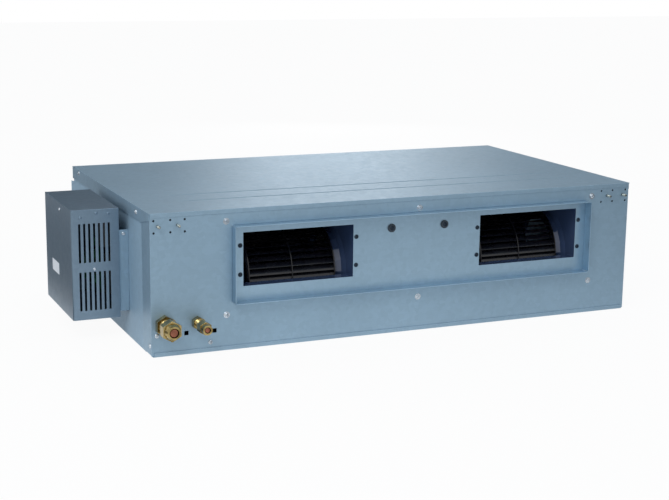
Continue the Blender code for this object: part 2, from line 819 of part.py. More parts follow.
def motor_bracket():
    half = cradle_half()
    height = cradle_top - cradle_low
    hole = boss_radius + ring_wall + gap
    reach = shaft_depth + hole + 3 * cradle_thickness - (deck - front)
    low_run = shaft_height - hole - 3 * cradle_thickness - cradle_low
    high_run = shaft_height + hole + 3 * cradle_thickness - cradle_low
    cheek = (0.0, height, [(0.0, flange), (low_run, reach), (high_run, reach), (height, flange)])
    turned_cheek = (0.0, height, [(0.0, flange), (height - high_run, reach),
                                  (height - low_run, reach), (height, flange)])
    outline = [(0, 0), (2 * half, 0), (2 * half, height), (0, height)]
    bracket = folded("motor_bracket", (blower_middle - half, deck, cradle_low), (1, 0, 0),
                     (0, 0, 1), outline, {1: cheek, 3: turned_cheek}, cradle_thickness)
    cut(bracket, rod("boss_hole", hole, -2 * half, 2 * half,
                     (blower_middle, shaft_y, shaft_height), TO_RIGHT, 24))
    tools = [rod("bolt_hole", bolt_radius + gap, -(deck + 2 * cradle_thickness), -(deck - sheet),
                 (x, 0.0, bolt_height), TO_FRONT, 16) for x in bolt_places()]
    tools.append(box("window", (blower_middle - half * 0.55, deck - sheet, cradle_low + 0.25 * height),
                     (blower_middle + half * 0.55, deck + 2 * cradle_thickness,
                      cradle_low + 0.75 * height)))
    return finish(cut(bracket, *tools), "galvanised")


def bracket_bolt(name, x):
    seat = -(front + skin(3) - gap)
    top = seat + bolt_head_height
    profile = [(0.0, top), (bolt_head_radius * 0.75, top),
               (bolt_head_radius, seat + bolt_head_height * 0.5), (bolt_head_radius, seat),
               (bolt_radius, seat), (bolt_radius, seat - bolt_tail), (0.0, seat - bolt_tail)]
    bolt = turned(name, profile, (x, 0.0, bolt_height), TO_FRONT, 16)
    return finish(bolt, "rubber")


def coil_centre():
    """Middle of the coil as (y, z): its lowest corner just clears the drain pan's floor."""
    sine, cosine = math.sin(coil_slope), math.cos(coil_slope)
    half_height = coil_height / 2 + end_margin
    half_thickness = coil_thickness / 2 + end_margin
    lowest = half_height * cosine + half_thickness * sine
    floor = skin(1) + pan_wall + gap
    z = floor + lowest
    y = front + coil_front + half_thickness * cosine + half_height * sine
    return y, z


def coil_spot(along, across):
    """World (y, z) of a point of the coil, along its height and across its thickness."""
    y, z = coil_centre()
    sine, cosine = math.sin(coil_slope), math.cos(coil_slope)
    return y + along * sine + across * cosine, z + along * cosine - across * sine


def coil_ends():
    return left + coil_left_margin, right - coil_right_margin


def coil_fins():
    low_x, high_x = coil_ends()
    y, z = coil_centre()
    half_thickness, half_height = coil_thickness / 2, coil_height / 2
    lean = (-coil_slope, 0.0, 0.0)
    clear = sheet + gap
    fins = box("coil_fins", (low_x + clear, -half_thickness, -half_height),
               (high_x - clear, half_thickness, half_height), (0.0, y, z), lean)
    pitch = (high_x - low_x - 2 * clear) / fin_grooves
    tools = []
    for index in range(fin_grooves):
        x = low_x + clear + pitch * (index + 0.5)
        for face in (-1, 1):
            inner = face * (half_thickness - fin_groove_depth)
            outer = face * (half_thickness + fin_groove_depth)
            tools.append(box("groove", (x - fin_groove_width / 2, min(inner, outer), -coil_height),
                             (x + fin_groove_width / 2, max(inner, outer), coil_height),
                             (0.0, y, z), lean))
    return finish(cut(fins, *tools), "aluminium")


def coil_end_plate(name, x):
    y, z = coil_centre()
    half_thickness = coil_thickness / 2 + end_margin
    half_height = coil_height / 2 + end_margin
    return box(name, (x, -half_thickness, -half_height),
               (x + sheet, half_thickness, half_height), (0.0, y, z), (-coil_slope, 0.0, 0.0))


def coil_end_left():
    return finish(coil_end_plate("coil_end_left", coil_ends()[0]), "galvanised")


def coil_end_right():
    """Right end plate with the return bends of its tubes."""
    x = coil_ends()[1] - sheet
    plate = coil_end_plate("coil_end_right", x)
    pitch = coil_height / bend_count
    bends = []
    for index in range(bend_count):
        middle_run = -coil_height / 2 + pitch * (index + 0.5)
        half = pitch / 4
        points = [(x + sheet / 2, *coil_spot(middle_run - half, coil_thickness / 5))]
        steps = 3
        for step in range(steps + 1):
            angle = math.pi * step / steps
            swing = -math.cos(angle) * half
            push = bend_reach - half + math.sin(angle) * half
            across = coil_thickness / 5 * (1 - 2 * step / steps)
            points.append((x + sheet + push, *coil_spot(middle_run + swing, across)))
        points.append((x + sheet / 2, *coil_spot(middle_run + half, -coil_thickness / 5)))
        bends.append(tube("bend", points, bend_radius, 1))
    return finish(fuse(plate, *bends), "copper")


def header(name, radius, across):
    """Header pipe along the coil's left end, with stubs that reach its end plate."""
    x = coil_ends()[0] - header_stand
    y, z = coil_spot(0.0, across)
    half = coil_height * 0.42
    pipe = rod(name, radius, -half, half, (x, y, z), (-coil_slope, 0.0, 0.0), 20)
    stubs = []
    for index in range(stub_count):
        run = (index - (stub_count - 1) / 2) * coil_height * 0.72 / (stub_count - 1)
        stub_y, stub_z = coil_spot(run, across)
        stubs.append(rod("stub", min(stub_radius, radius * 0.7), 0.0, header_stand - gap,
                         (x, stub_y, stub_z), TO_RIGHT, 8))
    return finish(fuse(pipe, *stubs), "copper")


def header_meeting(across, height, radius):
    """y where a level pipe at the given height meets the front of a header's slope."""
    y, z = coil_spot(0.0, across)
    return y + (height - z) * math.tan(coil_slope) - radius / math.cos(coil_slope)


gas_header_across = coil_thickness / 4
liquid_header_across = -coil_thickness / 3


def gas_pipe():
    x = left + gas_across
    start = front + skin(1) + union_tail + gap
    header_x = coil_ends()[0] - header_stand
    y, z = coil_spot(0.0, gas_header_across)
    turn_y = y + (gas_height - z) * math.tan(coil_slope)
    bend = 3 * gas_tube
    corner = (x, turn_y, gas_height)
    end = (header_x - header_radius - gap, turn_y, gas_height)
    begin = (x, start, gas_height)
    points = [Vector(begin)] + rounded_corner(begin, corner, end, bend) + [Vector(end)]
    return finish(tube("gas_pipe", points, gas_tube), "copper")


def liquid_pipe():
    x = left + liquid_across
    start = front + skin(1) + union_tail + gap
    reach = liquid_header_radius + liquid_tube * math.tan(coil_slope)
    end = header_meeting(liquid_header_across, liquid_height, reach) - gap
    return finish(rod("liquid_pipe", liquid_tube, -end, -start, (x, 0.0, liquid_height),
                      TO_FRONT, 16), "copper")


def pan_range():
    """Front and rear of the drain pan, under the whole slope of the coil."""
    half_thickness = coil_thickness / 2 + end_margin
    half_height = coil_height / 2 + end_margin
    far = coil_spot(half_height, half_thickness)[0]
    near = front + coil_front
    return near - pan_margin, far + pan_margin


def pan_sides():
    """Left and right of the drain pan, past the headers and the return bends."""
    low_x, high_x = coil_ends()
    return (low_x - header_stand - header_radius - pan_clear - pan_wall,
            high_x + bend_reach + bend_radius + pan_clear + pan_wall)


def drain_middle():
    near, far = pan_range()
    return near + (far - near) * 0.7


def drain_pan():
    near, far = pan_range()
    low_x, high_x = pan_sides()
    low = skin(1)
    pan = box("drain_pan", (low_x, near, low), (high_x, far, low + pan_height))
    cut(pan, box("hollow", (low_x + pan_wall, near + pan_wall, low + pan_wall),
                 (high_x - pan_wall, far - pan_wall, low + 2 * pan_height)))
    cut(pan, rod("outlet", spout_bore, high_x - 2 * pan_wall, high_x + pan_wall,
                 (0.0, drain_middle(), spout_height), TO_RIGHT, 20))
    return finish(pan, "white_plastic")


def drain_spout():
    start = pan_sides()[1] + gap
    end = right + spout_reach
    loop = [(spout_radius - 0.001, end), (spout_radius, end - 0.003),
            (spout_radius, start + spout_flange), (spout_radius + spout_flange, start + spout_flange),
            (spout_radius + spout_flange, start), (spout_bore, start), (spout_bore, end)]
    spout = turned("drain_spout", loop, (0.0, drain_middle(), spout_height), TO_RIGHT, 20,
                   closed=True)
    return finish(spout, "white_plastic")


def union_body(name, x, z, tube_radius, flats):
    """Flare union in the front panel: hexagon outside, thread and cone towards the nut."""
    face = -(front + skin(1) - gap)
    thread = tube_radius + thread_wall
    tip = -(front - union_reach) - nut_length + nut_length * nut_hex_share
    profile = [(0.0, tip), (tube_radius, tip), (thread, tip - thread_wall),
               (thread, face + union_hex_length / 2), (thread, face - union_tail),
               (0.0, face - union_tail)]
    body = turned(name, profile, (x, 0.0, z), TO_FRONT, 20)
    hexagon = rod("hexagon", flats / math.sqrt(3), face, face + union_hex_length,
                  (x, 0.0, z), TO_FRONT, 6)
    return finish(fuse(body, hexagon), "brass")


def union_nut(name, x, z, tube_radius, flats):
    """Flare nut: hexagon and tapered neck, hollow over the union's thread."""
    end = union_reach
    start = end - nut_length
    shoulder = start + nut_length * nut_hex_share
    origin = (x, front, z)
    nut = rod(name, flats / math.sqrt(3), start, shoulder, origin, TO_FRONT, 6)
    neck = tube_radius + gap + nut_wall
    wide = flats * 0.47
    fuse(nut, turned("neck", [(0.0, end), (neck, end), (neck + (wide - neck) * 0.35, end - 0.004),
                              (wide, shoulder - 0.001), (0.0, shoulder - 0.001)],
                     origin, TO_FRONT, 20))
    thread = tube_radius + thread_wall + gap
    hollow = [(0.0, end + 0.01), (tube_radius + gap, end + 0.01), (tube_radius + gap, shoulder + 2 * gap),
              (thread, shoulder + 2 * gap - thread_wall), (thread, start - 0.01), (0.0, start - 0.01)]
    cut(nut, turned("hollow", hollow, origin, TO_FRONT, 20))
    return finish(nut, "brass")


def union_plug(name, x, z, tube_radius):
    """Copper blank that closes the union until the pipes are fitted."""
    start = -(front - union_reach) - nut_length + nut_length * nut_hex_share + gap
    end = -(front - union_reach) - plug_recess
    plug = turned(name, [(0.0, end), (tube_radius * 0.8, end), (tube_radius, end - 0.002),
                         (tube_radius, start), (0.0, start)], (x, 0.0, z), TO_FRONT, 20)
    return finish(plug, "copper")


def box_walls():
    """Outer limits of the control box."""
    low_x, high_x = left - box_reach, left - box_gap
    near, far = front + box_front, front + box_front + box_length
    return low_x, high_x, near, far, box_low, box_low + box_height


def control_box_case():
    """Open case: base plate towards the casing, with top, bottom and rear walls."""
    low_x, high_x, near, far, low, high = box_walls()
    near = near + skin(1)
    depth = high_x - low_x - skin(1)
    length, height = far - near, high - low
    flaps = {0: flap(length, depth), 1: flap(height, depth), 2: flap(length, depth)}
    outline = [(0, 0), (length, 0), (length, height), (0, height)]
    case = folded("control_box_case", (high_x, near, low), (0, 1, 0), (0, 0, 1), outline, flaps,
                  sheet, 0.0)
    hole = rod("cable_hole", bush_radius + gap, high_x - skin(2), high_x + sheet,
               (0.0, front + bush_depth, bush_height), TO_RIGHT, 20)
    return finish(cut(case, hole), "grey_box")


def control_box_cover():
    """Cover bent from one sheet: outer face and the slotted front."""
    low_x, high_x, near, far, low, high = box_walls()
    length, height = far - near, high - low
    depth = high_x - low_x
    outline = [(0, 0), (height, 0), (height, length), (0, length)]
    flaps = {0: flap(height, depth, 0.0)}
    cover = folded("control_box_cover", (low_x, near, low), (0, 0, 1), (0, 1, 0), outline, flaps,
                   sheet, box_fold)
    tools = []
    for column in range(slot_count):
        x = low_x + slot_margin + slot_pitch * column
        for z in (low + slot_low, low + slot_low + slot_height + slot_bar):
            tools.append(box("slot", (x - slot_width / 2, near - sheet, z),
                             (x + slot_width / 2, near + 2 * sheet, z + slot_height)))
    return finish(cut(cover, *tools), "grey_box")


def box_bracket(name, edge, inward):
    """Stand-off channel between control box and casing; inward is 1 or -1 along Y."""
    low_x, high_x = left - box_gap + gap, left + skin(2) - gap
    channel = box(name, (low_x, min(edge, edge + inward * bracket_leg), bracket_low),
                  (high_x, max(edge, edge + inward * bracket_leg), bracket_top))
    inner, outer = edge + inward * sheet, edge + inward * 2 * bracket_leg
    cut(channel, box("hollow", (low_x + sheet, min(inner, outer), bracket_low - sheet),
                     (high_x - sheet, max(inner, outer), bracket_top + sheet)))
    return finish(channel, "galvanised")


def control_board():
    """Circuit board on four posts, with its larger components."""
    _, high_x, near, far, low, high = box_walls()
    base = high_x - sheet - gap
    face = base - board_stand
    near, far = near + board_front, far - board_rear
    low, high = low + board_foot, high - board_head
    board = box("control_board", (face - board_thickness, near, low), (face, far, high))
    posts = [rod("post", post_radius, face - board_thickness / 2, base, (0.0, y, z), TO_RIGHT, 10)
             for y in (near + post_inset, far - post_inset)
             for z in (low + post_inset, high - post_inset)]
    fuse(board, *posts)
    width, height = far - near, high - low
    top = face - board_thickness / 2
    relays = [box("relay", (top - relay_height, near + width * 0.12, low + height * (0.10 + 0.16 * row)),
                  (top, near + width * 0.30, low + height * (0.21 + 0.16 * row))) for row in range(4)]
    transformer = box("transformer", (top - transformer_height, near + width * 0.45, low + height * 0.12),
                      (top, near + width * 0.85, low + height * 0.40))
    connectors = [box("connector", (top - connector_height, near + width * (0.42 + 0.18 * column),
                                    low + height * 0.82),
                      (top, near + width * (0.54 + 0.18 * column), low + height * 0.92))
                  for column in range(3)]
    fuse(board, transformer, *relays, *connectors)
    return finish(board, "circuit_board")


def capacitor_low():
    """Underside of the capacitor, which stands over the terminal block."""
    return box_low + box_height - capacitor_head - capacitor_length


def terminal_block():
    """Screw terminals behind the slotted front, on the case's base plate."""
    _, high_x, near, _, low, _ = box_walls()
    base = high_x - sheet - gap
    start, end = low + terminal_foot, capacitor_low() - capacitor_gap
    pitch = (end - start) / terminal_count
    near = near + terminal_front
    far = near + terminal_width
    block = box("terminal_block", (base - terminal_depth, near, start), (base, far, end))
    wells = []
    for index in range(terminal_count):
        well_low = start + pitch * index + terminal_rib / 2
        wells.append(box("well", (base - 2 * terminal_depth, near + terminal_rim, well_low),
                         (base - terminal_depth * 0.45, far - terminal_rim,
                          well_low + pitch - terminal_rib)))
    return finish(cut(block, *wells), "white_plastic")


def run_capacitor():
    _, high_x, near, *_ = box_walls()
    base = high_x - sheet - gap
    radius, bottom = capacitor_radius, capacitor_low()
    top = bottom + capacitor_length
    profile = [(0.0, top), (radius * 0.9, top), (radius, top - capacitor_length * 0.05),
               (radius, bottom), (0.0, bottom)]
    can = turned("run_capacitor", profile, (base - radius, near + capacitor_front, 0.0),
                 (0.0, 0.0, 0.0), 20)
    return finish(can, "grey_plastic")


def cable_bush():
    """Rubber bush that lines the cable way from the control box into the casing."""
    start = left - box_gap - sheet - gap
    end = left + skin(2) + sheet + gap
    rim = bush_radius + bush_head
    loop = [(rim, end + bush_head), (rim, end), (bush_radius, end), (bush_radius, start),
            (rim, start), (rim, start - bush_head), (bush_bore, start - bush_head),
            (bush_bore, end + bush_head)]
    bush = turned("cable_bush", loop, (0.0, front + bush_depth, bush_height), TO_RIGHT, 16,
                  closed=True)
    return finish(bush, "rubber")


def track_faces():
    """Planes of the filter track: seat on the return frame, filter room and inner leg."""
    seat = back + gap
    room = seat + sheet
    leg = room + 2 * filter_clearance + filter_thickness + gap + mesh_thickness
    return seat, room, leg


def rail_outline(low, up):
    """Section of a filter rail as (y, z); up is 1 for the lower rail and -1 for the upper."""
    seat, room, leg = track_faces()
    far = back + duct_reach - sheet
    rows = [(seat, 0.0), (far, 0.0), (far, sheet), (leg + sheet, sheet), (leg + sheet, rail_lip),
            (leg, rail_lip), (leg, sheet), (room, sheet), (room, rail_lip), (seat, rail_lip)]
    return [(y, low + up * z) for y, z in rows]


def filter_track():
    """Rails above and below the return opening, joined by a stop at the left end."""
    low_x, high_x = left + skin(3), right - skin(1)
    track = extruded("filter_track", rail_outline(duct_low, 1), low_x, high_x)
    upper = extruded("upper", rail_outline(duct_top - sheet, -1), low_x, high_x)
    seat, room, leg = track_faces()
    stop = box("stop", (low_x, seat, duct_low), (low_x + sheet, leg + sheet, duct_top - sheet))
    fuse(track, stop)
    fuse(track, upper)
    return finish(track, "galvanised")


def filter_limits():
    """Filter's left end, right end, underside and top."""
    low_x = left + skin(4) + gap
    high_x = right - skin(1)
    low = duct_low + sheet + gap
    high = duct_top - 2 * sheet - gap - filter_clearance
    return low_x, high_x, low, high


def filter_frame():
    low_x, high_x, low, high = filter_limits()
    y = track_faces()[1] + filter_clearance
    origin = (high_x, y, low)
    length, height = high_x - low_x, high - low
    frame = box("filter_frame", (-length, 0.0, 0.0), (0.0, filter_thickness, height), origin)
    cell = (length - filter_bar) / filter_windows
    windows = [box("window", (-length + filter_bar + cell * index, -filter_thickness, filter_bar),
                   (-length + cell * (index + 1), 2 * filter_thickness, height - filter_bar), origin)
               for index in range(filter_windows)]
    cut(frame, *windows)
    pull = box("pull", (-filter_bar / 2, filter_thickness * 0.2, height * 0.35),
               (pull_reach, filter_thickness * 0.8, height * 0.65), origin)
    return finish(fuse(frame, pull), "grey_plastic")


def filter_mesh():
    low_x, high_x, low, high = filter_limits()
    y = track_faces()[1] + filter_clearance + filter_thickness + gap
    length, height = high_x - low_x, high - low
    inset = filter_bar / 3
    mesh = box("filter_mesh", (inset - length, 0.0, inset), (-inset, mesh_thickness, height - inset),
               (high_x, y, low))
    return finish(mesh, "filter_net")


def top_insulation():
    """Foam lining under the top cover, between the narrow flanges."""
    margin = skin(3) + flange + relief
    high = body_height - sheet - gap
    foam = box("top_insulation", (left + margin, front + margin, high - foam_thickness),
               (right - margin, back - margin, high))
    return finish(foam, "foam")


def build():
    clear_scene()
    top_cover()
    bottom_pan()
    front_panel()
    left_side_panel()
    right_side_panel()
    return_frame()
    outlet_collar()
    fan_plate()
    hanger_plate("hanger_plate_left", left, 1)
    hanger_plate("hanger_plate_right", right, -1)
    for word, side in (("left", -1), ("right", 1)):
        fan_housing("fan_housing_" + word, side)
        fan_wheel("fan_wheel_" + word, side)
        motor_mount("motor_mount_" + word, side)
    motor_shaft()
    fan_motor()
    motor_bracket()
    for word, x in zip(("left", "right"), bolt_places()):
        bracket_bolt("bracket_bolt_" + word, x)
    coil_fins()
    coil_end_left()
    coil_end_right()
    header("gas_header", header_radius, gas_header_across)
    header("liquid_header", liquid_header_radius, liquid_header_across)
    gas_pipe()
    liquid_pipe()
    drain_pan()
    drain_spout()
    for word, (x, z, tube_radius, flats, _) in union_places().items():
        union_body(word + "_union", x, z, tube_radius, flats)
        union_nut(word + "_flare_nut", x, z, tube_radius, flats)
        union_plug(word + "_plug", x, z, tube_radius)
    control_box_case()
    control_box_cover()
    box_front_edge = front + box_front + skin(3)
    box_bracket("box_bracket_front", box_front_edge, 1)
    box_bracket("box_bracket_rear", front + box_front + box_length - skin(3), -1)
    control_board()
    terminal_block()
    run_capacitor()
    cable_bush()
    filter_track()
    filter_frame()
    filter_mesh()
    top_insulation()


if __name__ == "__main__":
    build()
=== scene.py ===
import math

import bmesh
import bpy
import numpy as np
from bpy.props import FloatProperty, FloatVectorProperty, IntProperty, PointerProperty
from mathutils import Matrix, Quaternion, Vector


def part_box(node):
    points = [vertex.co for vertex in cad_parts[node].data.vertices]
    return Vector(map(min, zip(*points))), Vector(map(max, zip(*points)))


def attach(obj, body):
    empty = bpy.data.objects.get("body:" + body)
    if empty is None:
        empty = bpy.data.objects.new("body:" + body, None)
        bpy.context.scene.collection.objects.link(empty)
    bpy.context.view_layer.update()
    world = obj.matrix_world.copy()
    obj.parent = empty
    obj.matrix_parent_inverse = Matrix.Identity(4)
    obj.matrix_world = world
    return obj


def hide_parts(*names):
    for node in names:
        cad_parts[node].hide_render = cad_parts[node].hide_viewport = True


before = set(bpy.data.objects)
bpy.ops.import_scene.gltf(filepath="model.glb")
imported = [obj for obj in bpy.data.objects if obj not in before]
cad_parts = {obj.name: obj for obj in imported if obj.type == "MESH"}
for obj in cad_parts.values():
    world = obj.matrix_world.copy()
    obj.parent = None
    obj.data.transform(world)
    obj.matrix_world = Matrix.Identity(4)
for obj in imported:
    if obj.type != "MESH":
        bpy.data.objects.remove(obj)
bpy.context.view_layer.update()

bl_info = {
    "name": "Ducted indoor unit",
    "version": (1, 0, 0),
    "blender": (4, 5, 0),
    "location": "3D View > Sidebar > Ducted Unit",
    "description": "Finishes, screws, blower wheels, coil fins and filter net of a ducted indoor unit",
    "category": "Object",
}

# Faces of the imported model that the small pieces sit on, in metres
cover_low, cover_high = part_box("top_cover")
panel_low, panel_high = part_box("front_panel")
frame_low, frame_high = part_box("return_frame")
bracket_low, bracket_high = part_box("box_bracket_front")
box_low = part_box("control_box_cover")[0]
plate_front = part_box("fan_plate")[0].y
side_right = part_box("right_side_panel")[1].x
casing_left = cover_low.x
casing_front = cover_low.y

TO_FRONT = (0.0, -1.0, 0.0)
TO_BACK = (0.0, 1.0, 0.0)
TO_LEFT = (-1.0, 0.0, 0.0)
TO_RIGHT = (1.0, 0.0, 0.0)

# Places of the screws, studs and label, in metres from the casing's left side, its front and the floor
collar_screw_across = (0.159, 0.589, 1.017)
collar_screw_levels = (0.073, 0.265)
mouth_screw_levels = (0.153, 0.213)
union_screws = ((0.013, 0.043), (0.124, 0.0195))
corner_screw = (0.009, 0.022)
lip_screws = ((0.092, 0.278), (0.578, 0.283))
side_screw_depths = (0.215, 0.430, 0.615)
side_screw_level = 0.010
rear_screw_levels = (0.012, 0.270)
rear_screw_count = 6
rear_screw_inset = 0.03
stud_across = (0.0175, 0.0580)
stud_level = 0.264
box_front_screw = (-0.070, 0.152)
box_side_screw = (0.263, 0.261)
box_dimples = ((-0.0977, 0.260), (-0.0648, 0.268), (-0.0400, 0.2655))
label_depths = (0.281, 0.344)
label_levels = (0.117, 0.142)

# A mouth starts this far inside its housing, and its screws stand this far outside the mouth
mouth_inset = 0.016
mouth_screw_margin = 0.0065

# Turn of a screw's cross recess for each metre along its row, in radians, so that the rows look unalike
collar_turn, mouth_turn, mouth_level_turn, bolt_turn = 9, 7, 11, 13
union_turn, lip_turn, side_turn, rear_turn = 5, 8, 6, 12

# Camera, fitted to the casing's corners
camera_place = (-1.24935, -2.8994, 0.7986)
camera_azimuth = math.radians(23.531)
camera_elevation = math.radians(12.141)
camera_roll = math.radians(0.676)
image_width = 669
focal_pixels = 1404.8
sensor_width = 36.0

# Pool of light that the sheet metal reflects from the floor: its middle, the distances between which it
# fades, and the strength that is left beyond them
pool_middle = (-0.4, -0.2, 0.0)
pool_fade = (0.40, 2.2)
pool_rest = 0.22

# Share of the floor that is plain white where it is seen directly. The rest keeps the shadow
floor_whiteness = 0.94

merge_distance = 1e-7
smooth_angle = math.radians(32.0)


def linear(code):
    """Linear colour of an sRGB hex value such as #8899AA."""
    parts = [int(code[start:start + 2], 16) / 255 for start in (1, 3, 5)]
    return tuple(part / 12.92 if part <= 0.04045 else ((part + 0.055) / 1.055) ** 2.4 for part in parts)


class SheetMetal(bpy.types.PropertyGroup):
    casing_colour: FloatVectorProperty(
        name="Casing", description="Colour of the zinc-coated casing", subtype="COLOR", size=3,
        min=0.0, max=1.0, default=linear("#95B1C5"))
    box_colour: FloatVectorProperty(
        name="Control box", description="Colour of the control box", subtype="COLOR", size=3,
        min=0.0, max=1.0, default=linear("#7A90A3"))
    housing_colour: FloatVectorProperty(
        name="Blower housings", description="Colour of the enamel on the blower housings",
        subtype="COLOR", size=3, min=0.0, max=1.0, default=linear("#3C4E70"))
    spangle: FloatProperty(
        name="Spangle", description="Size of the zinc crystals", subtype="DISTANCE", unit="LENGTH",
        min=0.001, default=0.009)
    edge_radius: FloatProperty(
        name="Fold radius", description="Radius that the light shows on folded edges",
        subtype="DISTANCE", unit="LENGTH", min=0.0, default=0.0011)


class Fasteners(bpy.types.PropertyGroup):
    frame_radius: FloatProperty(
        name="Frame screw", description="Radius of the flanged screws round the collar",
        subtype="DISTANCE", unit="LENGTH", min=0.001, default=0.0068)
    panel_radius: FloatProperty(
        name="Panel screw", description="Radius of the panel screws", subtype="DISTANCE",
        unit="LENGTH", min=0.001, default=0.0050)
    mouth_radius: FloatProperty(
        name="Mouth screw", description="Radius of the dark screws beside the air outlets",
        subtype="DISTANCE", unit="LENGTH", min=0.001, default=0.0048)
    head_height: FloatProperty(
        name="Head height", description="Height of a screw's head", subtype="DISTANCE",
        unit="LENGTH", min=0.0005, default=0.0026)


class Blowers(bpy.types.PropertyGroup):
    blade_count: IntProperty(
        name="Blades", description="Blades on each wheel", min=12, max=80, default=38)
    blade_depth: FloatProperty(
        name="Blade depth", description="Radial depth of a blade", subtype="DISTANCE",
        unit="LENGTH", min=0.004, default=0.0150)
    blade_thickness: FloatProperty(
        name="Blade thickness", description="Thickness in the middle of a blade",
        subtype="DISTANCE", unit="LENGTH", min=0.0003, default=0.0011)


class Coil(bpy.types.PropertyGroup):
    fin_pitch: FloatProperty(
        name="Fin pitch", description="Distance between two fins", subtype="DISTANCE",
        unit="LENGTH", min=0.001, default=0.0024)
    fin_thickness: FloatProperty(
        name="Fin thickness",
        description="Thickness of a fin, drawn thicker than the real foil so that it shows",
        subtype="DISTANCE", unit="LENGTH", min=0.0001, default=0.00045)


class FilterNet(bpy.types.PropertyGroup):
    thread_pitch: FloatProperty(
        name="Thread pitch",
        description="Distance between two threads, coarser than the real net so that it shows",
        subtype="DISTANCE", unit="LENGTH", min=0.001, default=0.0030)
    thread_width: FloatProperty(
        name="Thread width", description="Width of a thread", subtype="DISTANCE", unit="LENGTH",
        min=0.0002, default=0.0009)


class Stage(bpy.types.PropertyGroup):
    floor_size: FloatProperty(
        name="Floor", description="Side of the floor", subtype="DISTANCE", unit="LENGTH",
        min=4.0, default=24.0)
    floor_colour: FloatVectorProperty(
        name="Floor colour", description="Colour of the pale floor", subtype="COLOR", size=3,
        min=0.0, max=1.0, default=linear("#F4F5F7"))
    surroundings: FloatProperty(
        name="Surroundings", description="Strength of the even light from all round", min=0.0,
        default=0.62)
    key_power: FloatProperty(
        name="Key light", description="Power of the soft light over the front", subtype="POWER",
        unit="POWER", min=0.0, default=42.0)
    rear_power: FloatProperty(
        name="Rear light", description="Power of the lamp behind the unit", subtype="POWER",
        unit="POWER", min=0.0, default=5.2)


# Shapes: each is a grid of points, rows by columns, whose rows close on themselves


def turned(profile, steps):
    """Surface of revolution round +Z: every profile point (radius, height) swept round a full circle."""
    profile = np.asarray(profile, float)
    angle = np.linspace(0.0, math.tau, steps, endpoint=False)
    radius = profile[:, 0][:, None]
    height = np.repeat(profile[:, 1][:, None], steps, axis=1)
    return np.stack([radius * np.cos(angle), radius * np.sin(angle), height], axis=-1)


def closed_prism(outline, levels):
    """Outline (x, y) carried along +Z through the levels, closed by a fan to its centre at both ends."""
    outline = np.asarray(outline, float)
    centre = np.repeat(outline.mean(0)[None], len(outline), axis=0)
    rows = [centre] + [outline] * len(levels) + [centre]
    heights = [levels[0]] + list(levels) + [levels[-1]]
    return np.stack([np.column_stack([row, np.full(len(row), height)])
                     for row, height in zip(rows, heights)])


def rounded_rectangle(width, height, radius, steps=5):
    """Outline of a rectangle round the origin: each corner is a quarter circle."""
    quarter = np.linspace(0.0, math.pi / 2, steps)
    corners = ((1, 1, 0.0), (-1, 1, math.pi / 2), (-1, -1, math.pi), (1, -1, 1.5 * math.pi))
    points = [np.column_stack([x * (width / 2 - radius) + radius * np.cos(quarter + start),
                               y * (height / 2 - radius) + radius * np.sin(quarter + start)])
              for x, y, start in corners]
    return np.concatenate(points)


def placed(grid, origin, facing, turn=0.0):
    """Turns a grid made round +Z until +Z faces along facing, after a turn about +Z, and moves it."""
    rotation = Vector(facing).to_track_quat("Z", "Y") @ Quaternion((0.0, 0.0, 1.0), turn)
    return grid @ np.array(rotation.to_matrix()).T + np.array(origin, float)


def screw_head(radius, height, flange=0.0, steps=32):
    """Pan head: half a superellipse from the crown to the rim, then a thin washer flange. The cross
    recess lowers the crown where a point lies within half a slot of either diameter."""
    share = np.sin(np.linspace(0.0, math.pi / 2, 12))
    washer = height * 0.22 if flange else 0.0
    dome = washer + (height - washer) * np.sqrt(np.clip(1 - share ** 3, 0.0, 1.0))
    profile = np.column_stack([share * radius, dome])
    if flange:
        profile = np.vstack([profile, [radius + flange * 0.85, washer], [radius + flange, washer * 0.4]])
    rim = profile[-1, 0]
    profile = np.vstack([profile, [rim, 0.0], [0.0, 0.0]])
    grid = turned(profile, steps)
    half_slot, slot_reach, slot_depth = radius * 0.16, radius * 0.62, height * 0.55
    side_slope, end_slope = half_slot * 0.6, radius * 0.12
    across, along = np.abs(grid[..., 0]), np.abs(grid[..., 1])
    narrow, far = np.minimum(across, along), np.maximum(across, along)
    recess = np.clip((half_slot - narrow) / side_slope + 0.6, 0.0, 1.0)
    recess *= np.clip((slot_reach - far) / end_slope, 0.0, 1.0)
    on_dome = grid[..., 2] > washer + 1e-6
    grid[..., 2] -= np.where(on_dome, recess * slot_depth, 0.0)
    return grid


def pressed_dimple(radius, height):
    """Shallow cap whose height falls with the square of the distance from its middle."""
    share = np.linspace(0.0, 1.0, 7)
    profile = np.column_stack([share * radius, height * (1 - share ** 2)])
    return turned(np.vstack([profile, [0.0, 0.0]]), 20)


def thread_ridge(radius, height, pitch, length, steps=28):
    """Triangular ridge carried along a helix round +Z, with its section shrunk to nothing at both ends."""
    turns = length / pitch
    share = np.linspace(0.0, 1.0, int(turns * steps))
    angle = share * turns * math.tau
    end_taper = np.clip(np.minimum(share, 1 - share) * turns * 2, 0.0, 1.0)[:, None]
    radial = np.array([-0.35, 0.8, 1.0, 0.8, -0.35]) * height
    axial = np.array([-0.46, -0.12, 0.0, 0.12, 0.46]) * pitch
    distance = radius + radial * end_taper
    along = share[:, None] * length + axial * end_taper
    return np.stack([distance * np.cos(angle)[:, None], distance * np.sin(angle)[:, None], along], axis=-1)


def grid_faces(rows, columns):
    """Quads between neighbouring rows of a grid whose rows close on themselves."""
    row, column = np.meshgrid(np.arange(rows - 1), np.arange(columns), indexing="ij")
    after = (column + 1) % columns
    corners = [row * columns + column, row * columns + after,
               (row + 1) * columns + after, (row + 1) * columns + column]
    return np.stack(corners, axis=-1).reshape(-1, 4)


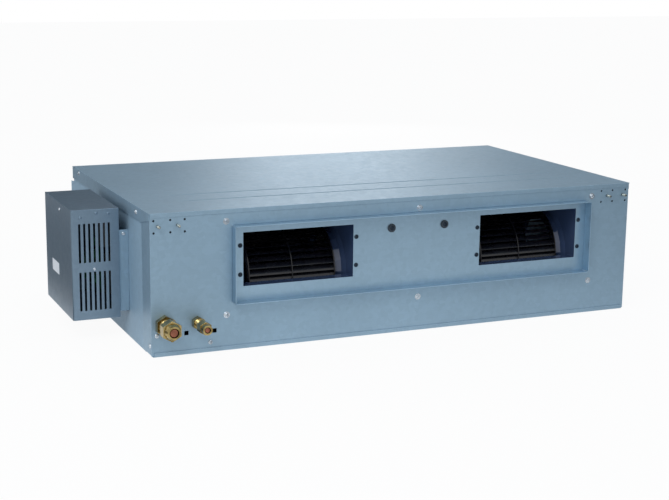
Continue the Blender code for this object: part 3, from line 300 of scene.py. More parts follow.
def piece(name, grids, finish, body, replaces=()):
    """One object made of closed grids. Points that fall together are merged, which closes the poles."""
    points = np.concatenate([grid.reshape(-1, 3) for grid in grids])
    starts = np.cumsum([0] + [grid.shape[0] * grid.shape[1] for grid in grids[:-1]])
    faces = np.concatenate([grid_faces(*grid.shape[:2]) + start for grid, start in zip(grids, starts)])
    mesh = bpy.data.meshes.new(name)
    mesh.from_pydata(points.tolist(), [], faces.tolist())
    shape = bmesh.new()
    shape.from_mesh(mesh)
    bmesh.ops.remove_doubles(shape, verts=shape.verts, dist=merge_distance)
    bmesh.ops.dissolve_degenerate(shape, edges=shape.edges, dist=merge_distance)
    bmesh.ops.recalc_face_normals(shape, faces=shape.faces)
    shape.to_mesh(mesh)
    shape.free()
    mesh.polygons.foreach_set("use_smooth", [True] * len(mesh.polygons))
    mesh.set_sharp_from_angle(angle=smooth_angle)
    mesh.materials.append(finish)
    made = bpy.data.objects.new(name, mesh)
    bpy.context.scene.collection.objects.link(made)
    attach(made, body)
    if replaces:
        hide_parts(*replaces)


def dress(finish, *nodes):
    """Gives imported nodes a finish."""
    for name in nodes:
        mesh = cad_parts[name].data
        mesh.materials.clear()
        mesh.materials.append(finish)


# Materials

WHITE = (1.0, 1.0, 1.0, 1.0)

# A colour mix has several sockets of the same name, so its own are picked by number
COLOUR_MIX = {"data_type": "RGBA"}
FACTOR, FIRST, SECOND = 0, 6, 7


def add(tree, kind, settings=None, inputs=None):
    """Adds a node: settings are its properties. An input takes a value, another node's output, or another
    node, which stands for the first of its outputs that is in use."""
    made = tree.nodes.new(kind)
    for name, value in (settings or {}).items():
        setattr(made, name, value)
    for name, value in (inputs or {}).items():
        if isinstance(value, bpy.types.Node):
            value = next(output for output in value.outputs if output.enabled)
        if isinstance(value, bpy.types.NodeSocket):
            tree.links.new(value, made.inputs[name])
        else:
            made.inputs[name].default_value = value
    return made


def start_material(name):
    """An empty material; returns it with its node tree and object coordinates."""
    finish = bpy.data.materials.new(name)
    finish.use_nodes = True
    tree = finish.node_tree
    tree.nodes.clear()
    return finish, tree, add(tree, "ShaderNodeTexCoord").outputs["Object"]


def end_material(tree, inputs):
    """Joins a material's patterns to its shader, and the shader to the output."""
    shader = add(tree, "ShaderNodeBsdfPrincipled", None, inputs)
    add(tree, "ShaderNodeOutputMaterial", None, {"Surface": shader})


def shade(colour, factor=1.0):
    """The colour made lighter or darker by a factor, as an RGBA value."""
    return tuple(min(channel * factor, 1.0) for channel in colour[:3]) + (1.0,)


def folded_edges(tree, radius):
    """Normal rounded over sharp edges, and a mask that is 1 on those edges."""
    rounded = add(tree, "ShaderNodeBevel", {"samples": 4}, {"Radius": radius})
    flat = add(tree, "ShaderNodeNewGeometry").outputs["Normal"]
    agreement = add(tree, "ShaderNodeVectorMath", {"operation": "DOT_PRODUCT"}, {0: rounded, 1: flat})
    edge = add(tree, "ShaderNodeMapRange", None, {
        "Value": agreement.outputs["Value"], "From Min": 0.80, "From Max": 0.995, "To Min": 1.0,
        "To Max": 0.0})
    return rounded, edge


def zinc_coated_steel(name, colour, spangle, edge_radius, roughness=0.48, metallic=0.62):
    """Hot-dip zinc-coated sheet, skin-passed: crystals some 9 mm wide give faint light and dark patches,
    rolling gives fine lines along the sheet, handling gives cloudy areas, and folds are painted lighter,
    partly as wear and partly as a painted highlight.
    The passivation film scatters part of the light, so the sheet is less than fully metallic."""
    cloud_width, grain_width = 0.34, 0.0016
    finish, tree, coordinates = start_material(name)
    crystals = add(tree, "ShaderNodeTexVoronoi", None, {"Vector": coordinates, "Scale": 1 / spangle})
    crystal = add(tree, "ShaderNodeSeparateColor", None, {"Color": crystals.outputs["Color"]})
    by_crystal = add(tree, "ShaderNodeMix", COLOUR_MIX, {
        FACTOR: crystal.outputs["Red"], FIRST: shade(colour, 0.965), SECOND: shade(colour, 1.035)})
    clouds = add(tree, "ShaderNodeTexNoise", None, {
        "Vector": coordinates, "Scale": 1 / cloud_width, "Detail": 3.0})
    cloud_share = add(tree, "ShaderNodeMapRange", None, {
        "Value": clouds, "From Min": 0.35, "From Max": 0.65})
    clouded = add(tree, "ShaderNodeMix", COLOUR_MIX, {
        FACTOR: cloud_share, FIRST: shade(WHITE, 0.93), SECOND: WHITE})
    patched = add(tree, "ShaderNodeMix", {"data_type": "RGBA", "blend_type": "MULTIPLY"}, {
        FACTOR: 1.0, FIRST: by_crystal, SECOND: clouded})
    # Rolling lines 170 mm long and 2.4 mm apart, coarser than the real ones so that they show
    drawn_out = add(tree, "ShaderNodeMapping", None, {
        "Vector": coordinates, "Scale": (6.0, 420.0, 420.0)})
    lines = add(tree, "ShaderNodeTexNoise", None, {"Vector": drawn_out, "Scale": 1.0})
    line_share = add(tree, "ShaderNodeMapRange", None, {
        "Value": lines, "From Min": 0.3, "From Max": 0.7, "To Max": 0.10})
    rolled = add(tree, "ShaderNodeMix", COLOUR_MIX, {
        FACTOR: line_share, FIRST: patched, SECOND: shade(colour, 0.75)})
    normal, edge = folded_edges(tree, edge_radius)
    # Folded edges are painted lighter: partly wear, partly a painted highlight
    highlit_and_worn_share = add(tree, "ShaderNodeMapRange", None, {"Value": edge, "To Max": 0.75})
    highlit_and_worn = add(tree, "ShaderNodeMix", COLOUR_MIX, {
        FACTOR: highlit_and_worn_share, FIRST: rolled, SECOND: shade(colour, 1.6)})
    sheen = add(tree, "ShaderNodeMapRange", None, {
        "Value": crystal.outputs["Green"], "To Min": roughness - 0.03, "To Max": roughness + 0.04})
    grain = add(tree, "ShaderNodeTexNoise", None, {"Vector": coordinates, "Scale": 1 / grain_width})
    bump = add(tree, "ShaderNodeBump", None, {
        "Strength": 0.05, "Distance": 0.0004, "Height": grain, "Normal": normal})
    end_material(tree, {"Base Color": highlit_and_worn, "Metallic": metallic, "Roughness": sheen, "Normal": bump})
    return finish


def enamelled_steel(name, colour, edge_radius, roughness=0.22):
    """Stoved enamel on sheet steel: even dark colour with a gloss coat, slight orange peel and dust, and
    edges painted lighter, partly as wear and partly as a painted highlight.
    """
    dust_width, peel_width = 0.05, 0.003
    finish, tree, coordinates = start_material(name)
    dust = add(tree, "ShaderNodeTexNoise", None, {
        "Vector": coordinates, "Scale": 1 / dust_width, "Detail": 4.0})
    dust_share = add(tree, "ShaderNodeMapRange", None, {
        "Value": dust, "From Min": 0.45, "From Max": 0.75, "To Max": 0.16})
    dusty = add(tree, "ShaderNodeMix", COLOUR_MIX, {
        FACTOR: dust_share, FIRST: shade(colour), SECOND: shade(linear("#5C6470"))})
    normal, edge = folded_edges(tree, edge_radius)
    # Edges are painted lighter: partly wear, partly a painted highlight
    highlit_and_worn_share = add(tree, "ShaderNodeMapRange", None, {"Value": edge, "To Max": 0.35})
    highlit_and_worn = add(tree, "ShaderNodeMix", COLOUR_MIX, {
        FACTOR: highlit_and_worn_share, FIRST: dusty, SECOND: shade(colour, 2.6)})
    peel = add(tree, "ShaderNodeTexNoise", None, {
        "Vector": coordinates, "Scale": 1 / peel_width, "Detail": 1.0})
    bump = add(tree, "ShaderNodeBump", None, {
        "Strength": 0.12, "Distance": 0.0002, "Height": peel, "Normal": normal})
    end_material(tree, {"Base Color": highlit_and_worn, "Metallic": 0.0, "Roughness": roughness,
                        "Coat Weight": 0.35, "Coat Roughness": 0.25, "Normal": bump})
    return finish


def moulded_plastic(name, colour, roughness, grain_width=0.0008):
    """Injection-moulded plastic: one colour with faint flow clouds and a fine etched grain."""
    flow_width = 0.03
    finish, tree, coordinates = start_material(name)
    flow = add(tree, "ShaderNodeTexNoise", None, {"Vector": coordinates, "Scale": 1 / flow_width})
    mottled = add(tree, "ShaderNodeMix", COLOUR_MIX, {
        FACTOR: flow, FIRST: shade(colour, 0.88), SECOND: shade(colour, 1.12)})
    sheen = add(tree, "ShaderNodeMapRange", None, {
        "Value": flow, "From Min": 0.3, "From Max": 0.7, "To Min": roughness - 0.05,
        "To Max": roughness + 0.06})
    grain = add(tree, "ShaderNodeTexNoise", None, {
        "Vector": coordinates, "Scale": 1 / grain_width, "Detail": 1.0})
    bump = add(tree, "ShaderNodeBump", None, {"Strength": 0.15, "Distance": 0.0001, "Height": grain})
    end_material(tree, {"Base Color": mottled, "Metallic": 0.0, "Roughness": sheen, "Normal": bump})
    return finish


def bright_metal(name, colour, roughness, tarnish):
    """Plain metal that was machined or plated: fine tool lines and a little darker tarnish in clouds."""
    cloud_width, line_width, edge_radius = 0.012, 0.0006, 0.0004
    finish, tree, coordinates = start_material(name)
    clouds = add(tree, "ShaderNodeTexNoise", None, {
        "Vector": coordinates, "Scale": 1 / cloud_width, "Detail": 4.0})
    tarnish_share = add(tree, "ShaderNodeMapRange", None, {
        "Value": clouds, "From Min": 0.42, "From Max": 0.68, "To Max": 0.7})
    tarnished = add(tree, "ShaderNodeMix", COLOUR_MIX, {
        FACTOR: tarnish_share, FIRST: shade(colour), SECOND: shade(tarnish)})
    sheen = add(tree, "ShaderNodeMapRange", None, {
        "Value": clouds, "From Min": 0.35, "From Max": 0.7, "To Min": roughness,
        "To Max": roughness + 0.14})
    rounded = add(tree, "ShaderNodeBevel", {"samples": 4}, {"Radius": edge_radius})
    # Tool lines run round an axis that points to the front, so they are close together along it only
    drawn_out = add(tree, "ShaderNodeMapping", None, {"Vector": coordinates, "Scale": (0.12, 1.0, 0.12)})
    lines = add(tree, "ShaderNodeTexNoise", None, {
        "Vector": drawn_out, "Scale": 1 / line_width, "Detail": 1.0})
    bump = add(tree, "ShaderNodeBump", None, {
        "Strength": 0.08, "Distance": 0.0002, "Height": lines, "Normal": rounded})
    end_material(tree, {"Base Color": tarnished, "Metallic": 1.0, "Roughness": sheen, "Normal": bump})
    return finish


def rubber(name, colour, grain_width=0.0012):
    """Vulcanised rubber or closed-cell foam: matt, with a soft sheen and a pebbled skin."""
    bloom_width = 0.02
    finish, tree, coordinates = start_material(name)
    bloom = add(tree, "ShaderNodeTexNoise", None, {
        "Vector": coordinates, "Scale": 1 / bloom_width, "Detail": 3.0})
    mottled = add(tree, "ShaderNodeMix", COLOUR_MIX, {
        FACTOR: bloom, FIRST: shade(colour, 0.8), SECOND: shade(colour, 1.5)})
    pebbles = add(tree, "ShaderNodeTexVoronoi", None, {"Vector": coordinates, "Scale": 1 / grain_width})
    bump = add(tree, "ShaderNodeBump", None, {
        "Strength": 0.3, "Distance": 0.0002, "Height": pebbles.outputs["Distance"]})
    end_material(tree, {"Base Color": mottled, "Metallic": 0.0, "Roughness": 0.82,
                        "Sheen Weight": 0.15, "Normal": bump})
    return finish


def glass_fibre_laminate(name, colour):
    """Circuit board: green lacquer over woven glass, with paler copper tracks round fields 8 mm wide."""
    field_width = 0.008
    finish, tree, coordinates = start_material(name)
    fields = add(tree, "ShaderNodeTexVoronoi", {"distance": "MANHATTAN"}, {
        "Vector": coordinates, "Scale": 1 / field_width})
    tracks = add(tree, "ShaderNodeMapRange", None, {
        "Value": fields.outputs["Distance"], "From Min": 0.42, "From Max": 0.46, "To Max": 0.8})
    printed = add(tree, "ShaderNodeMix", COLOUR_MIX, {
        FACTOR: tracks, FIRST: shade(colour), SECOND: shade(colour, 2.6)})
    end_material(tree, {"Base Color": printed, "Metallic": 0.0, "Roughness": 0.35})
    return finish


def coated_paper(name, colour):
    """Self-adhesive label of coated paper: near white, half matt, with a faint fibre pattern."""
    fibre_width = 0.002
    finish, tree, coordinates = start_material(name)
    fibres = add(tree, "ShaderNodeTexNoise", None, {
        "Vector": coordinates, "Scale": 1 / fibre_width, "Detail": 4.0})
    mottled = add(tree, "ShaderNodeMix", COLOUR_MIX, {
        FACTOR: fibres, FIRST: shade(colour, 0.94), SECOND: shade(colour, 1.02)})
    end_material(tree, {"Base Color": mottled, "Metallic": 0.0, "Roughness": 0.48})
    return finish


class DUCTED_OT_casing(bpy.types.Operator):
    """Dresses the sheet-metal parts in zinc-coated steel and the insulation under the cover in foam"""
    bl_idname = "ducted.casing"
    bl_label = "Casing"

    def execute(self, context):
        metal = context.scene.ducted_sheet
        zinc = zinc_coated_steel("zinc_coated_steel", metal.casing_colour, metal.spangle, metal.edge_radius)
        dress(zinc, "top_cover", "bottom_pan", "front_panel", "return_frame", "filter_track",
              "coil_end_left", "box_bracket_front", "box_bracket_rear")
        # The side panels take the casing's colour made 6 % lighter: painted light that brightens the sides
        dull = zinc_coated_steel("dull_zinc_coated_steel_painted_lighter", shade(metal.casing_colour, 1.06),
                                 metal.spangle, metal.edge_radius, roughness=0.55, metallic=0.2)
        dress(dull, "left_side_panel", "right_side_panel")
        plate = zinc_coated_steel("bright_zinc_coated_steel", shade(metal.casing_colour, 1.08),
                                  metal.spangle, metal.edge_radius, roughness=0.36, metallic=0.72)
        dress(plate, "fan_plate", "outlet_collar")
        dress(rubber("polyethylene_foam", linear("#2B2C2F"), 0.004), "top_insulation")
        return {"FINISHED"}


class DUCTED_OT_screws(bpy.types.Operator):
    """Adds the screws of the collar, the air outlets, the casing and the duct flange"""
    bl_idname = "ducted.screws"
    bl_label = "Screws"

    def execute(self, context):
        sizes = context.scene.ducted_fasteners
        zinc = bright_metal("zinc_plated_screw_steel", linear("#C9D3DC"), 0.22, linear("#8A97A4"))
        black = bright_metal("black_oxide_steel", linear("#39434F"), 0.32, linear("#1C222B"))
        piece("collar_screws", self.collar_heads(sizes), zinc, "casing")
        piece("outlet_screws", self.outlet_heads(sizes), black, "casing")
        piece("casing_screws", self.casing_heads(sizes), zinc, "casing")
        return {"FINISHED"}

    def collar_heads(self, sizes):
        """Flanged screws above and below the collar."""
        flange = sizes.frame_radius * 0.36
        head = screw_head(sizes.frame_radius - flange, sizes.head_height, flange)
        return [placed(head, (casing_left + across, panel_low.y, level), TO_FRONT, across * collar_turn)
                for across in collar_screw_across for level in collar_screw_levels]

    def outlet_heads(self, sizes):
        """Dark screws on both sides of each mouth, and one in each rubber-headed bolt."""
        head = screw_head(sizes.mouth_radius, sizes.head_height * 0.9)
        edges = []
        for housing in ("fan_housing_left", "fan_housing_right"):
            low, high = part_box(housing)
            inwards = mouth_inset - mouth_screw_margin
            edges += [low.x + inwards, high.x - inwards]
        heads = [placed(head, (edge, plate_front, level), TO_FRONT,
                        edge * mouth_turn + level * mouth_level_turn)
                 for edge in edges for level in mouth_screw_levels]
        for node in ("bracket_bolt_left", "bracket_bolt_right"):
            low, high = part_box(node)
            middle = (low + high) / 2
            heads.append(placed(head, (middle.x, low.y, middle.z), TO_FRONT, middle.x * bolt_turn))
        return heads

    def casing_heads(self, sizes):
        """Screws by the unions, in the lower corners, the cover's lip, the right side and the back."""
        head = screw_head(sizes.panel_radius, sizes.head_height)
        heads = [placed(head, (casing_left + across, panel_low.y, level), TO_FRONT, across * union_turn)
                 for across, level in union_screws]
        heads += [placed(head, (face, casing_front + corner_screw[0], corner_screw[1]), facing, turn=0.4)
                  for face, facing in ((panel_low.x, TO_LEFT), (panel_high.x, TO_RIGHT))]
        heads += [placed(head, (face, casing_front + depth, level), facing, depth * lip_turn)
                  for face, facing in ((cover_low.x, TO_LEFT), (cover_high.x, TO_RIGHT))
                  for depth, level in lip_screws]
        heads += [placed(head, (side_right, casing_front + depth, side_screw_level), TO_RIGHT,
                         depth * side_turn)
                  for depth in side_screw_depths]
        rear_places = np.linspace(frame_low.x + rear_screw_inset, frame_high.x - rear_screw_inset,
                                  rear_screw_count)
        heads += [placed(head, (x, frame_high.y, level), TO_BACK, x * rear_turn)
                  for x in rear_places for level in rear_screw_levels]
        return heads


class DUCTED_OT_hangers(bpy.types.Operator):
    """Cuts the hanger studs' threads and finishes their plates, the shaft and the rubber parts"""
    bl_idname = "ducted.hangers"
    bl_label = "Hanger studs"

    def execute(self, context):
        steel = bright_metal("zinc_plated_stud_steel", linear("#DADFD6"), 0.18, linear("#8D958C"))
        dress(steel, "motor_shaft")
        dress(bright_metal("phosphated_plate_steel", linear("#3A4048"), 0.5, linear("#1D2127")),
              "hanger_plate_left", "hanger_plate_right")
        dress(rubber("vulcanised_rubber", linear("#323B44")), "bracket_bolt_left", "bracket_bolt_right",
              "motor_mount_left", "motor_mount_right", "cable_bush")
        radius, reach, chamfer, skin = 0.0025, 0.013, 0.0008, 0.0001
        thread_depth, thread_pitch, thread_start, bare_end = 0.00035, 0.0009, 0.0005, 0.001
        ridge = thread_ridge(radius, thread_depth, thread_pitch, reach - bare_end, 14)
        around, tip = radius + skin, reach + skin
        sleeve = turned([(0.0, 0.0), (around, 0.0), (around, tip - chamfer), (around - chamfer, tip),
                         (0.0, tip)], 16)
        places = [casing_left + across for across in stud_across]
        places += [cover_high.x - across for across in stud_across]
        studs = [placed(grid, (x, y, stud_level), TO_FRONT) for x in places
                 for grid, y in ((ridge, casing_front - thread_start), (sleeve, casing_front))]
        piece("threaded_studs", studs, steel, "casing")
        return {"FINISHED"}


class DUCTED_OT_blowers(bpy.types.Operator):
    """Builds both blower wheels and finishes their housings and the motor"""
    bl_idname = "ducted.blowers"
    bl_label = "Blowers"

    def execute(self, context):
        sizes = context.scene.ducted_blowers
        metal = context.scene.ducted_sheet
        dress(enamelled_steel("enamelled_housing_steel", metal.housing_colour, metal.edge_radius),
              "fan_housing_left", "fan_housing_right")
        # The motor bracket takes the motor's dark enamel too: painted shade that keeps it dark where it
        # shows through the right wheel
        dress(enamelled_steel("motor_enamel_and_bracket_painted_shade", linear("#33383F"), 0.001, roughness=0.4),
              "fan_motor", "motor_bracket")
        plastic = moulded_plastic("glass_filled_nylon", linear("#12131A"), 0.25, 0.002)
        for side in ("left", "right"):
            node = "fan_wheel_" + side
            low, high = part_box(node)
            piece("blower_wheel_" + side, wheel_grids(low, high, sizes), plastic, "fan_rotor",
                  (node,))
        return {"FINISHED"}


def wheel_grids(low, high, sizes):
    """Forward-curved wheel: each blade is a bowed strip, thin at both edges, carried along the axle from
    ring to ring, and the rings, middle disc and hub are turned."""
    centre = np.array((low + high) / 2)
    inside_box = 0.998
    radius = (high.z - low.z) / 2 * inside_box
    half = (high.x - low.x) / 2
    ring, disc, hub, hub_half, bore = 0.0026, 0.0016, 0.016, 0.018, 0.0067
    lean, bow = math.radians(9.0), sizes.blade_depth * 0.22
    share = np.linspace(0.0, 1.0, 7)
    reach = radius - ring / 4 - sizes.blade_depth * (1 - share)
    across = bow * 4 * share * (1 - share) - reach * np.sin(lean * share)
    width = sizes.blade_thickness / 2 * np.sqrt(np.clip(1.08 - (2 * share - 1) ** 4, 0.0, 1.0))
    level = reach * np.cos(lean * share)
    outline = np.concatenate([np.column_stack([across - width, level]),
                              np.column_stack([across + width, level])[::-1]])
    blade_half = half - ring / 3
    blade = closed_prism(outline, [-blade_half, blade_half])
    grids = []
    for angle in np.arange(sizes.blade_count) * math.tau / sizes.blade_count:
        turn = np.array([[math.cos(angle), -math.sin(angle)], [math.sin(angle), math.cos(angle)]])
        turned_blade = blade.copy()
        turned_blade[..., :2] = blade[..., :2] @ turn.T
        grids.append(turned_blade)
    inner = radius - sizes.blade_depth - ring / 2
    rounding = ring * 0.3
    for end in (-1, 1):
        outside, inside = end * half, end * (half - ring)
        loop = [(inner, inside), (inner, outside), (radius - rounding, outside),
                (radius, outside - end * rounding), (radius, inside), (inner, inside)]
        grids.append(turned(loop, 64))
    loop = [(bore, -hub_half), (hub, -hub_half), (hub, -disc / 2), (radius, -disc / 2),
            (radius, disc / 2), (hub, disc / 2), (hub, hub_half), (bore, hub_half), (bore, -hub_half)]
    grids.append(turned(loop, 64))
    along_axle = np.array([[0.0, 0.0, 1.0], [1.0, 0.0, 0.0], [0.0, 1.0, 0.0]])
    return [grid @ along_axle.T + centre for grid in grids]


class DUCTED_OT_coil(bpy.types.Operator):
    """Builds the coil's stack of fins and finishes its tubes and the drain pan"""
    bl_idname = "ducted.coil"
    bl_label = "Coil and drain"

    def execute(self, context):
        sizes = context.scene.ducted_coil
        copper = bright_metal("drawn_copper_tube", linear("#C98A6B"), 0.24, linear("#7F4B37"))
        dress(copper, "coil_end_right", "gas_header", "liquid_header", "gas_pipe", "liquid_pipe")
        dress(moulded_plastic("white_abs", linear("#D9DBDA"), 0.42), "drain_pan", "drain_spout")
        low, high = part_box("coil_fins")
        count = int((high.x - low.x - sizes.fin_thickness) / sizes.fin_pitch)
        fin = closed_prism(coil_corners(), [0.0, sizes.fin_thickness])[..., [2, 0, 1]]
        start = (low.x + high.x - count * sizes.fin_pitch - sizes.fin_thickness) / 2
        fins = [fin + np.array([start + index * sizes.fin_pitch, 0.0, 0.0]) for index in range(count + 1)]
        foil = bright_metal("aluminium_fin_foil", linear("#BFC6CC"), 0.38, linear("#8E979F"))
        piece("coil_fin_stack", fins, foil, "casing", ("coil_fins",))
        return {"FINISHED"}


def coil_corners():
    """Corners of the sloping coil as (y, z): its highest, rearmost, lowest and foremost points."""
    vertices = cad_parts["coil_fins"].data.vertices
    points = np.empty(len(vertices) * 3)
    vertices.foreach_get("co", points)
    points = points.reshape(-1, 3)[:, 1:]
    picks = [points[:, 1].argmax(), points[:, 0].argmax(), points[:, 1].argmin(), points[:, 0].argmin()]
    return points[picks]


class DUCTED_OT_unions(bpy.types.Operator):
    """Cuts the threads of the flare unions and gives them, their nuts and plugs brass and copper"""
    bl_idname = "ducted.unions"
    bl_label = "Flare unions"

    def execute(self, context):
        brass = bright_metal("forged_brass", linear("#A89665"), 0.15, linear("#41371E"))
        dress(brass, "gas_union", "gas_flare_nut", "liquid_union", "liquid_flare_nut")
        copper = bright_metal("copper_cap", linear("#94604E"), 0.2, linear("#4A2A22"))
        dress(copper, "gas_plug", "liquid_plug")
        start = casing_front - 0.0120
        thread_depth, bare_end = 0.0007, 0.0006
        threads = []
        for word, radius, pitch in (("gas", 0.0143, 0.0018), ("liquid", 0.0108, 0.0014)):
            low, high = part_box(word + "_union")
            nut_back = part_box(word + "_flare_nut")[1].y
            ridge = thread_ridge(radius, thread_depth, pitch, start - nut_back - bare_end)
            threads.append(placed(ridge, ((low.x + high.x) / 2, start, (low.z + high.z) / 2), TO_FRONT))
        piece("union_threads", threads, brass, "casing")
        return {"FINISHED"}


class DUCTED_OT_control_box(bpy.types.Operator):
    """Finishes the control box and adds its screws, dimples, blank label and foam strip"""
    bl_idname = "ducted.control_box"
    bl_label = "Control box"

    def execute(self, context):
        metal = context.scene.ducted_sheet
        grey = zinc_coated_steel("grey_zinc_coated_steel", metal.box_colour, metal.spangle,
                                 metal.edge_radius, roughness=0.36, metallic=0.70)
        dress(grey, "control_box_case", "control_box_cover")
        dress(glass_fibre_laminate("glass_fibre_laminate", linear("#1F5A38")), "control_board")
        dress(moulded_plastic("grey_polyamide", linear("#3C3F43"), 0.45), "terminal_block")
        dress(moulded_plastic("grey_polypropylene", linear("#4C4F52"), 0.4), "run_capacitor")
        zinc = bright_metal("zinc_plated_box_screw", linear("#D3DCE4"), 0.2, linear("#8F9BA8"))
        piece("control_box_screws", self.heads(context.scene.ducted_fasteners), zinc, "casing")
        dimple = pressed_dimple(0.0034, 0.0009)
        dimples = [placed(dimple, (casing_left + across, box_low.y, level), TO_FRONT)
                   for across, level in box_dimples]
        piece("control_box_dimples", dimples, grey, "casing")
        paper = coated_paper("coated_label_paper", linear("#EDF1F6"))
        piece("blank_label", [self.label()], paper, "casing")
        foam = rubber("polyethylene_foam_strip", linear("#2B2C2F"), 0.002)
        piece("box_seal", [self.seal()], foam, "casing")
        return {"FINISHED"}

    def heads(self, sizes):
        """Screws in the box's front, in its outer side and in the top of the stand-off channel."""
        small = screw_head(sizes.panel_radius * 0.8, sizes.head_height * 0.7)
        smallest = screw_head(sizes.panel_radius * 0.6, sizes.head_height * 0.5)
        channel_top = ((bracket_low.x + bracket_high.x) / 2, bracket_low.y, bracket_high.z - 0.008)
        front = (casing_left + box_front_screw[0], box_low.y, box_front_screw[1])
        side = (box_low.x, casing_front + box_side_screw[0], box_side_screw[1])
        return [placed(smallest, front, TO_FRONT, turn=0.3), placed(small, side, TO_LEFT, turn=0.2),
                placed(small, channel_top, TO_FRONT, turn=0.7)]

    def label(self):
        """Flat rounded plate on the box's outer side: its width runs along the casing's depth."""
        width, height = label_depths[1] - label_depths[0], label_levels[1] - label_levels[0]
        plate = closed_prism(rounded_rectangle(width, height, 0.0015), [0.0, 0.0002])
        middle = (box_low.x, casing_front + sum(label_depths) / 2, sum(label_levels) / 2)
        return np.stack([-plate[..., 2], plate[..., 0], plate[..., 1]], axis=-1) + np.array(middle)

    def seal(self):
        """Rounded strip along the foot of the case's rear wall, inside it."""
        case_low, case_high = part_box("control_box_case")
        wall, gap, height, depth = 0.0012, 0.0003, 0.0035, 0.003
        width = case_high.x - case_low.x - 2 * (wall + gap)
        strip = closed_prism(rounded_rectangle(width, height, 0.0008), [0.0, depth])
        place = ((case_low.x + case_high.x) / 2, case_high.y - wall - gap,
                 case_low.z + wall + gap + height / 2)
        return placed(strip, place, TO_FRONT)


class DUCTED_OT_filter(bpy.types.Operator):
    """Weaves the filter's net and finishes its frame"""
    bl_idname = "ducted.filter"
    bl_label = "Filter"

    def execute(self, context):
        sizes = context.scene.ducted_filter
        dress(moulded_plastic("grey_abs", linear("#565B60"), 0.45), "filter_frame")
        low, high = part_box("filter_mesh")
        half = sizes.thread_width / 2
        layer = (high.y - low.y) * 0.3
        outline = np.array([(-half, -layer), (half, -layer), (half, layer), (-half, layer)])
        threads = []
        for axis, length_axis, depth in ((0, 2, low.y + layer), (2, 0, high.y - layer)):
            count = int((high[axis] - low[axis] - 2 * half) / sizes.thread_pitch)
            strip = closed_prism(outline, [low[length_axis], high[length_axis]])
            for place in np.linspace(low[axis] + half, high[axis] - half, count + 1):
                grid = np.empty_like(strip)
                grid[..., axis] = strip[..., 0] + place
                grid[..., 1] = strip[..., 1] + depth
                grid[..., length_axis] = strip[..., 2]
                threads.append(grid)
        net = moulded_plastic("woven_polypropylene", linear("#3A4046"), 0.55)
        piece("filter_net", threads, net, "return_filter", ("filter_mesh",))
        return {"FINISHED"}


